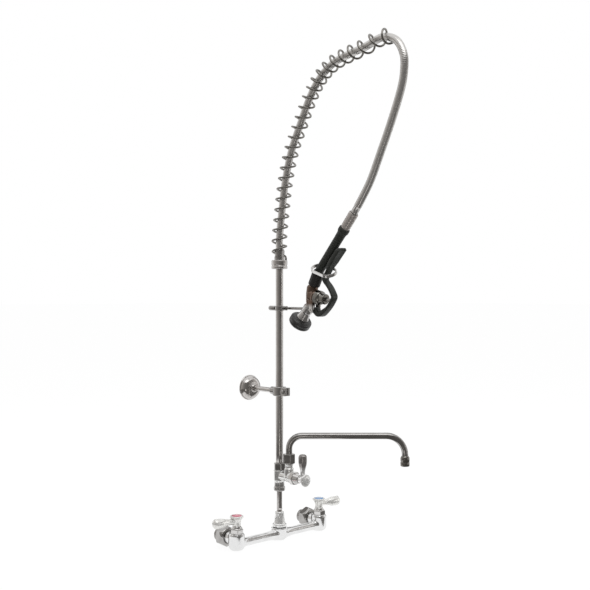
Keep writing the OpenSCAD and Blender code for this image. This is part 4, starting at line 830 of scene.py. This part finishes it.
def studio():
    """A white world that lights the object softly."""
    world = bpy.data.worlds.new("studio")
    scene.world = world
    world.use_nodes = True
    tree = world.node_tree
    tree.nodes.clear()
    ambient = shining(tree, "ShaderNodeBackground", AMBIENT)
    backdrop = shining(tree, "ShaderNodeBackground", BACKDROP)
    out = tree.nodes.new("ShaderNodeOutputWorld")
    tree.links.new(white_where_seen(tree, ambient, backdrop), out.inputs[0])


def pale_floor():
    """A floor that looks almost white and keeps the object's shadow."""
    mat = bpy.data.materials.new("pale_floor")
    mat.use_nodes = True
    tree = mat.node_tree
    tree.nodes.clear()
    matte = tree.nodes.new("ShaderNodeBsdfDiffuse")
    matte.inputs["Color"].default_value = (FLOOR_GREY, FLOOR_GREY, FLOOR_GREY, 1)
    seen = tree.nodes.new("ShaderNodeMixShader")
    seen.inputs[0].default_value = GLOW_SHARE
    tree.links.new(matte.outputs[0], seen.inputs[1])
    tree.links.new(shining(tree, "ShaderNodeEmission", FLOOR_GLOW), seen.inputs[2])
    out = tree.nodes.new("ShaderNodeOutputMaterial")
    tree.links.new(white_where_seen(tree, matte.outputs[0], seen.outputs[0]), out.inputs[0])
    return mat


studio()
sheet_object("floor", FLOOR_HALF, FLOOR_HALF, (0, 0, FLOOR_Z), UP, pale_floor())

# ------------------------------------------------------------ cards that only the chrome mirrors
CARD_DISTANCE, CARD_HALF, CARD_TOP = 1.25, 0.268, 1.5
CARD_FOOT = FLOOR_Z + 0.003
# Bearing of each standing card from the camera's side, to the right, and its grey
CARDS = ((-95, 0.62), (-72, 0.46), (-48, 0.34), (-24, 0.25), (0, 0.19), (24, 0.16), (48, 0.17), (72, 0.25),
         (95, 0.50), (150, 0.22), (205, 0.30))


def bearing_way(bearing):
    """The level way at a bearing in degrees from the camera's side, to the right."""
    a = math.radians(bearing)
    return -math.cos(a) * LOOK + math.sin(a) * RIGHT


def card_finish(name, tone):
    """A warm grey that shines by itself."""
    mat = bpy.data.materials.new(name)
    mat.use_nodes = True
    tree = mat.node_tree
    tree.nodes.clear()
    warm_grey = (tone, tone * 0.96, tone * 0.92, 1)
    out = tree.nodes.new("ShaderNodeOutputMaterial")
    tree.links.new(shining(tree, "ShaderNodeEmission", 1.0, warm_grey), out.inputs[0])
    return mat


def only_mirrored(card):
    """Hides a card from all but glossy rays."""
    for kind in ("camera", "diffuse", "transmission", "volume_scatter", "shadow"):
        setattr(card, "visible_" + kind, False)


def standing_card(bearing, tone):
    """A standing grey card that only mirrors show."""
    name = "card_%03d" % (bearing % 360)
    way = bearing_way(bearing)
    place = AXIS + CARD_DISTANCE * way + (CARD_FOOT + CARD_TOP) / 2 * UP
    only_mirrored(sheet_object(name, CARD_HALF, (CARD_TOP - CARD_FOOT) / 2, place, -way,
                               card_finish(name, tone)))


def floor_card(name, near, far, tone, first, last, lift, left_wider=0.0):
    """Part of a flat ring on the floor that only mirrors show; its inner edge may widen to the left."""
    steps, wider_from, wider_span = 24, 8, 20
    verts, faces = [], []
    for i in range(steps + 1):
        bearing = first + (last - first) * i / steps
        way = bearing_way(bearing)
        inner = near + left_wider * grown(-bearing - wider_from, wider_span)
        verts += [AXIS + inner * way, AXIS + far * way]
        if i:
            faces.append((2 * i - 2, 2 * i - 1, 2 * i + 1, 2 * i))
    mesh = bpy.data.meshes.new(name)
    mesh.from_pydata([tuple(v) for v in verts], [], faces)
    card = bpy.data.objects.new(name, mesh)
    scene.collection.objects.link(card)
    card.location.z = FLOOR_Z + lift
    mesh.materials.append(card_finish(name, tone))
    only_mirrored(card)


for bearing, tone in CARDS:
    standing_card(bearing, tone)
floor_card("apron", 0.13, 1.27, 0.15, -110, 110, 0.002, left_wider=0.24)
floor_card("hose_glint", 0.55, 1.24, 1.8, -3, 7, 0.0025)


# ------------------------------------------------------------ lamps
def lamp(name, back, aside, height, size, power):
    """A rectangular lamp that faces the object's middle; back is toward the camera, aside to the right."""
    centre = (cad_box[0] + cad_box[1]) / 2
    place = centre - back * LOOK + aside * RIGHT + height * UP
    data = bpy.data.lights.new(name, "AREA")
    data.shape = "RECTANGLE"
    data.size, data.size_y = size
    data.energy = power
    obj = bpy.data.objects.new(name, data)
    scene.collection.objects.link(obj)
    obj.location = place
    obj.rotation_mode = "QUATERNION"
    obj.rotation_quaternion = (place - centre).to_track_quat("Z", "Y")
    obj.visible_camera = False
    return obj


lamp("key", 1.45, 0.35, 1.85, (2.2, 1.8), 16)
lamp("fill", 0.25, 2.0, -0.05, (1.0, 0.6), 10)
top = lamp("top", 0, 0, 1.8, (1.6, 1.6), 14)
top.visible_glossy = False

scene.view_settings.view_transform = "Standard"
